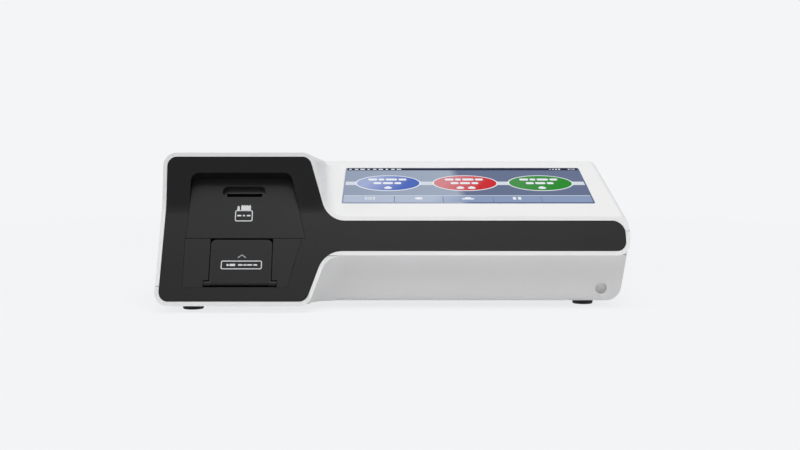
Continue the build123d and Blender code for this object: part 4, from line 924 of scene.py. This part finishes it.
@dataclass
class ScreenPicture:
    """Lit picture of the touch screen: status strip, round keys and tab bar; sizes in mm."""

    finishes: Finishes
    middle: float = 45.0
    width: float = 154.0
    back: float = 111.7
    margin: float = 0.9
    status_height: float = 5.6
    status_bar: Point2 = (1.6, 2.2)
    status_bar_growth: float = 0.7
    status_bar_row: tuple[float, float, int] = (-74.0, 4.0, 9)
    signal_step: Point2 = (1.2, 1.2)
    signal_growth: float = 0.5
    signal_row: tuple[float, float, int] = (58.0, 2.0, 4)
    battery: Point2 = (4.4, 2.6)
    battery_place: float = 72.0
    key_row: float = 73.7
    key_bar_height: float = 8.0
    key_bar_drop: float = 0.6
    key_size: Point2 = (40.0, 34.6)
    key_rim: Point2 = (1.7, 2.8)
    key_sides: int = 72
    keys: tuple[tuple[str, float, int], ...] = (
        ("blue", -4.0, 1), ("red", 45.2, 2), ("green", 93.2, 1))
    word_rows: tuple[tuple[float, tuple[float, ...]], ...] = (
        (8.4, (5.6, 3.6, 7.2, 5.0)), (-0.4, (5.0, 6.4, 4.2)))
    word_gap: float = 1.0
    word_height: float = 4.6
    word_radius: float = 1.2
    drop_pitch: float = 7.2
    drop_size: Point2 = (5.0, 4.6)
    drop_row: float = -11.8
    drop_tip: float = 2.9
    drop_tip_row: float = -9.8
    tab_row: float = 37.4
    tab_height: float = 14.4
    tab_line: float = 1.0
    tab_line_rise: float = 7.0
    divider: Point2 = (0.5, 12.0)
    divider_drop: float = 1.0
    tab_edges: tuple[float, ...] = (0.0, 29.9, 60.7, 90.2)
    tab_mark_lift: float = 0.9
    lift: float = 0.02
    ink: float = 0.02

    @property
    def wide(self) -> float:
        """Return the length of the strips that run across the picture."""
        return self.width - 2 * self.margin

    @property
    def status_row(self) -> float:
        """Return how far up the deck the middle of the status strip is."""
        return self.back - self.margin - self.status_height / 2

    def _lay(self, item: bpy.types.Object, name: str, finish: str, place: Point2,
             layer: int) -> None:
        """Lay one flat shape on the glass, each layer a little over the one below.

        Args:
            item: The flat drawing, round its own middle.
            name: The piece's name.
            finish: The name of its finish.
            place: Where its middle goes on the deck, in mm.
            layer: How many layers lie under it.
        """
        raised(item, self.ink)
        settle(item, DECK.matrix(*place, self.lift + layer * self.ink))
        dress(item, name, self.finishes[finish], "housing")

    def bars(self) -> None:
        """Lay the strips that run across the picture, and the lines between the tabs."""
        for name, finish, height, row, layer in (
                ("status_strip", "lit_status", self.status_height, self.status_row, 0),
                ("key_bar", "lit_bar", self.key_bar_height, self.key_row - self.key_bar_drop, 0),
                ("tab_bar", "lit_foot_bar", self.tab_height, self.tab_row, 0),
                ("tab_bar_line", "lit_bar", self.tab_line, self.tab_row + self.tab_line_rise, 1)):
            self._lay(plate((self.wide, height)), name, finish, (self.middle, row), layer)
        lines = [moved(plate(self.divider), edge - self.middle, -self.divider_drop)
                 for edge in self.tab_edges]
        self._lay(joined(lines), "tab_lines", "lit_line", (self.middle, self.tab_row), 1)

    def _words(self) -> list[bpy.types.Object]:
        """Draw the rows of plain bars on a key, each row round the key's middle."""
        marks = []
        for row, lengths in self.word_rows:
            start = -(sum(lengths) + self.word_gap * len(lengths)) / 2
            for length in lengths:
                bar = plate((length, self.word_height), self.word_radius)
                marks.append(moved(bar, start + length / 2, row))
                start += length + self.word_gap
        return marks

    def _drops(self, count: int) -> list[bpy.types.Object]:
        """Draw a key's drops side by side, each a disc with a pointed tip."""
        marks = []
        for step in range(count):
            shift = (step - (count - 1) / 2) * self.drop_pitch
            marks.append(moved(disc(self.drop_size, SMALL_SIDES), shift, self.drop_row))
            tip = plate((self.drop_tip, self.drop_tip), 0.2)
            marks.append(moved(tip, shift, self.drop_tip_row, 45.0))
        return marks

    def key(self, colour: str, across: float, drops: int) -> None:
        """Lay one round key with its white rim, generic bars and drops.

        Args:
            colour: Which of the lit finishes the key has.
            across: Its place from the reader's middle, in mm.
            drops: How many drops stand at its foot.
        """
        place = (across, self.key_row)
        rim = (self.key_size[0] + self.key_rim[0], self.key_size[1] + self.key_rim[1])
        self._lay(disc(rim, self.key_sides), f"key_rim_{colour}", "lit_white", place, 1)
        self._lay(disc(self.key_size, self.key_sides), f"key_{colour}", f"lit_{colour}", place, 2)
        marks = self._words() + self._drops(drops)
        self._lay(joined(marks), f"key_marks_{colour}", "lit_white", place, 3)

    def tabs(self) -> None:
        """Lay the small generic pictures of the tab bar, each with its place from the middle."""
        shapes = [
            ([hollow(plate((6.0, 5.0), 0.6), 0.7), plate((2.6, 0.8))], -15.0),
            ([disc((5.0, 5.0), SMALL_SIDES)], 15.0),
            ([moved(plate((7.4, 2.6), 0.8), 0.0, -1.2),
              moved(plate((3.6, 2.4), 0.5), 0.0, 1.2)], 45.3),
            ([moved(plate((1.9, 5.6), 0.4), side * 1.6, 0.0) for side in (-1, 1)], 75.4),
        ]
        row = self.tab_row + self.tab_mark_lift
        for number, (parts, across) in enumerate(shapes):
            self._lay(joined(parts), f"tab_mark_{number}", "lit_white", (across, row), 1)

    def status_marks(self) -> None:
        """Lay the plain bars, the rising steps and the battery of the status strip."""
        marks = []
        start, pitch, count = self.status_bar_row
        for step in range(count):
            length = self.status_bar[0] + self.status_bar_growth * (step % 3)
            bar = plate((length, self.status_bar[1]), 0.3)
            marks.append(moved(bar, start + pitch * step, 0.0))
        start, pitch, count = self.signal_row
        for step in range(count):
            height = self.signal_step[1] + self.signal_growth * step
            bar = plate((self.signal_step[0], height), 0.1)
            marks.append(moved(bar, start + pitch * step, 0.0))
        marks.append(moved(hollow(plate(self.battery, 0.4), 0.5), self.battery_place, 0.0))
        place = (self.middle, self.status_row)
        self._lay(joined(marks), "status_marks", "lit_white", place, 1)

    def build(self) -> None:
        """Lay the whole picture."""
        self.bars()
        for colour, across, drops in self.keys:
            self.key(colour, across, drops)
        self.tabs()
        self.status_marks()


@dataclass
class Studio:
    """Pale floor, even surroundings, soft lamps and the camera; sizes in metres."""

    background: Colour = screen_colour(244, 245, 247)
    surroundings: Colour = (0.93, 0.93, 0.935)
    fill: float = 0.36
    floor_size: float = 8.0
    floor_dark: Colour = (0.85, 0.85, 0.86)
    floor_light: Colour = (0.87, 0.87, 0.88)
    floor_cloud: float = 3.0
    glow_near: float = 0.86
    glow_spread: float = 2.2
    lamps: tuple[tuple[str, Point3, float, float], ...] = (
        ("lamp_over", (0.05, -0.30, 1.30), 9.0, 0.9),
        ("lamp_right", (1.2, 0.1, 0.8), 2.2, 1.0),
        ("lamp_left", (-1.2, -0.35, 0.9), 4.0, 1.0),
        ("lamp_rear", (0.3, 0.35, 1.4), 2.0, 0.8),
    )
    aim: Point3 = (0.0, 0.0, 0.04)
    lens: float = 63.0
    sensor: float = 36.0
    camera_place: Point3 = (0.0004, -0.9033, 0.120)
    pitch: float = 5.0
    shift: Point2 = (5.0 / 800.0, 0.0)

    def _floor_material(self) -> bpy.types.Material:
        """Return the floor's finish: pale to light, and the background's glow to the eye.

        Close to the reader the glow lets some of the surface through, so that shadows show there.
        """
        graph = Graph("studio_floor")
        cloud = graph.noise(self.floor_cloud, 2.0)
        pale = graph.mix(cloud, self.floor_dark, self.floor_light)
        graph.feed("Base Color", pale)
        graph.feed("Roughness", 0.9)
        graph.feed("Specular IOR Level", 0.1)
        camera, glossy, clear = (graph.node("ShaderNodeLightPath", {}, {}, f"Is {ray} Ray")
                                 for ray in ("Camera", "Glossy", "Transmission"))
        seen = (camera + glossy + clear).clamped()
        shine = {"Color": (*self.background, 1.0), "Strength": 1.0}
        glow = graph.node("ShaderNodeEmission", {}, shine)
        far = ((graph.axis("X") ** 2.0 + graph.axis("Y") ** 2.0) * self.glow_spread).clamped()
        amount = seen * (self.glow_near + far * (1.0 - self.glow_near))
        mixed = graph.node("ShaderNodeMixShader", {}, {0: amount, 2: glow})
        graph.tree.links.new(graph.shader.outputs[0], mixed.socket.node.inputs[1])
        graph.tree.links.new(mixed.socket, graph.end.inputs["Surface"])
        return graph.material

    def floor(self) -> None:
        """Lay the flat floor."""
        bpy.ops.mesh.primitive_plane_add(size=self.floor_size)
        item = bpy.context.object
        item.name = "studio_floor"
        item.data.materials.append(self._floor_material())
        item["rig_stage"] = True

    def world(self) -> None:
        """Fill the surroundings with even pale light, and show the background to the camera."""
        world = bpy.data.worlds.new("studio_world")
        world.use_nodes = True
        tree = world.node_tree
        back = tree.nodes["Background"]
        back.inputs["Color"].default_value = (*self.surroundings, 1.0)
        back.inputs["Strength"].default_value = self.fill
        path = tree.nodes.new("ShaderNodeLightPath")
        seen = tree.nodes.new("ShaderNodeBackground")
        seen.inputs["Color"].default_value = (*self.background, 1.0)
        seen.inputs["Strength"].default_value = 1.0
        mix = tree.nodes.new("ShaderNodeMixShader")
        tree.links.new(path.outputs["Is Camera Ray"], mix.inputs[0])
        tree.links.new(back.outputs[0], mix.inputs[1])
        tree.links.new(seen.outputs[0], mix.inputs[2])
        tree.links.new(mix.outputs[0], tree.nodes["World Output"].inputs["Surface"])
        bpy.context.scene.world = world

    def lamp(self, name: str, place: Point3, power: float, size: float) -> None:
        """Hang one square soft lamp that looks at the reader.

        Args:
            name: The lamp's name.
            place: Where it hangs, in metres.
            power: Its power in watts.
            size: Its edge in metres.
        """
        bpy.ops.object.light_add(type="AREA", location=place)
        item = bpy.context.object
        item.name = name
        item.data.energy = power
        item.data.size = size
        look = Vector(self.aim) - Vector(place)
        item.rotation_euler = look.to_track_quat("-Z", "Y").to_euler()

    def camera(self) -> None:
        """Set the camera at the photograph's angle."""
        bpy.ops.object.camera_add(location=self.camera_place)
        item = bpy.context.object
        item.name = "studio_camera"
        item.rotation_euler = (math.radians(90.0 - self.pitch), 0.0, 0.0)
        item.data.lens = self.lens
        item.data.sensor_width = self.sensor
        item.data.shift_x, item.data.shift_y = self.shift
        bpy.context.scene.camera = item

    def build(self) -> None:
        """Set up the whole studio."""
        self.floor()
        self.world()
        for name, place, power, size in self.lamps:
            self.lamp(name, place, power, size)
        self.camera()
        bpy.context.scene.view_settings.view_transform = "Standard"


def main() -> None:
    """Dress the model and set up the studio."""
    logging.basicConfig(level=logging.INFO, format="%(name)s: %(message)s")
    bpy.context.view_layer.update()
    finishes = Finishes()
    finishes.build()
    NodeDress(finishes).build()
    FrontSigns(finishes).build()
    ScreenPicture(finishes).build()
    Studio().build()


if __name__ == "__main__":
    main()
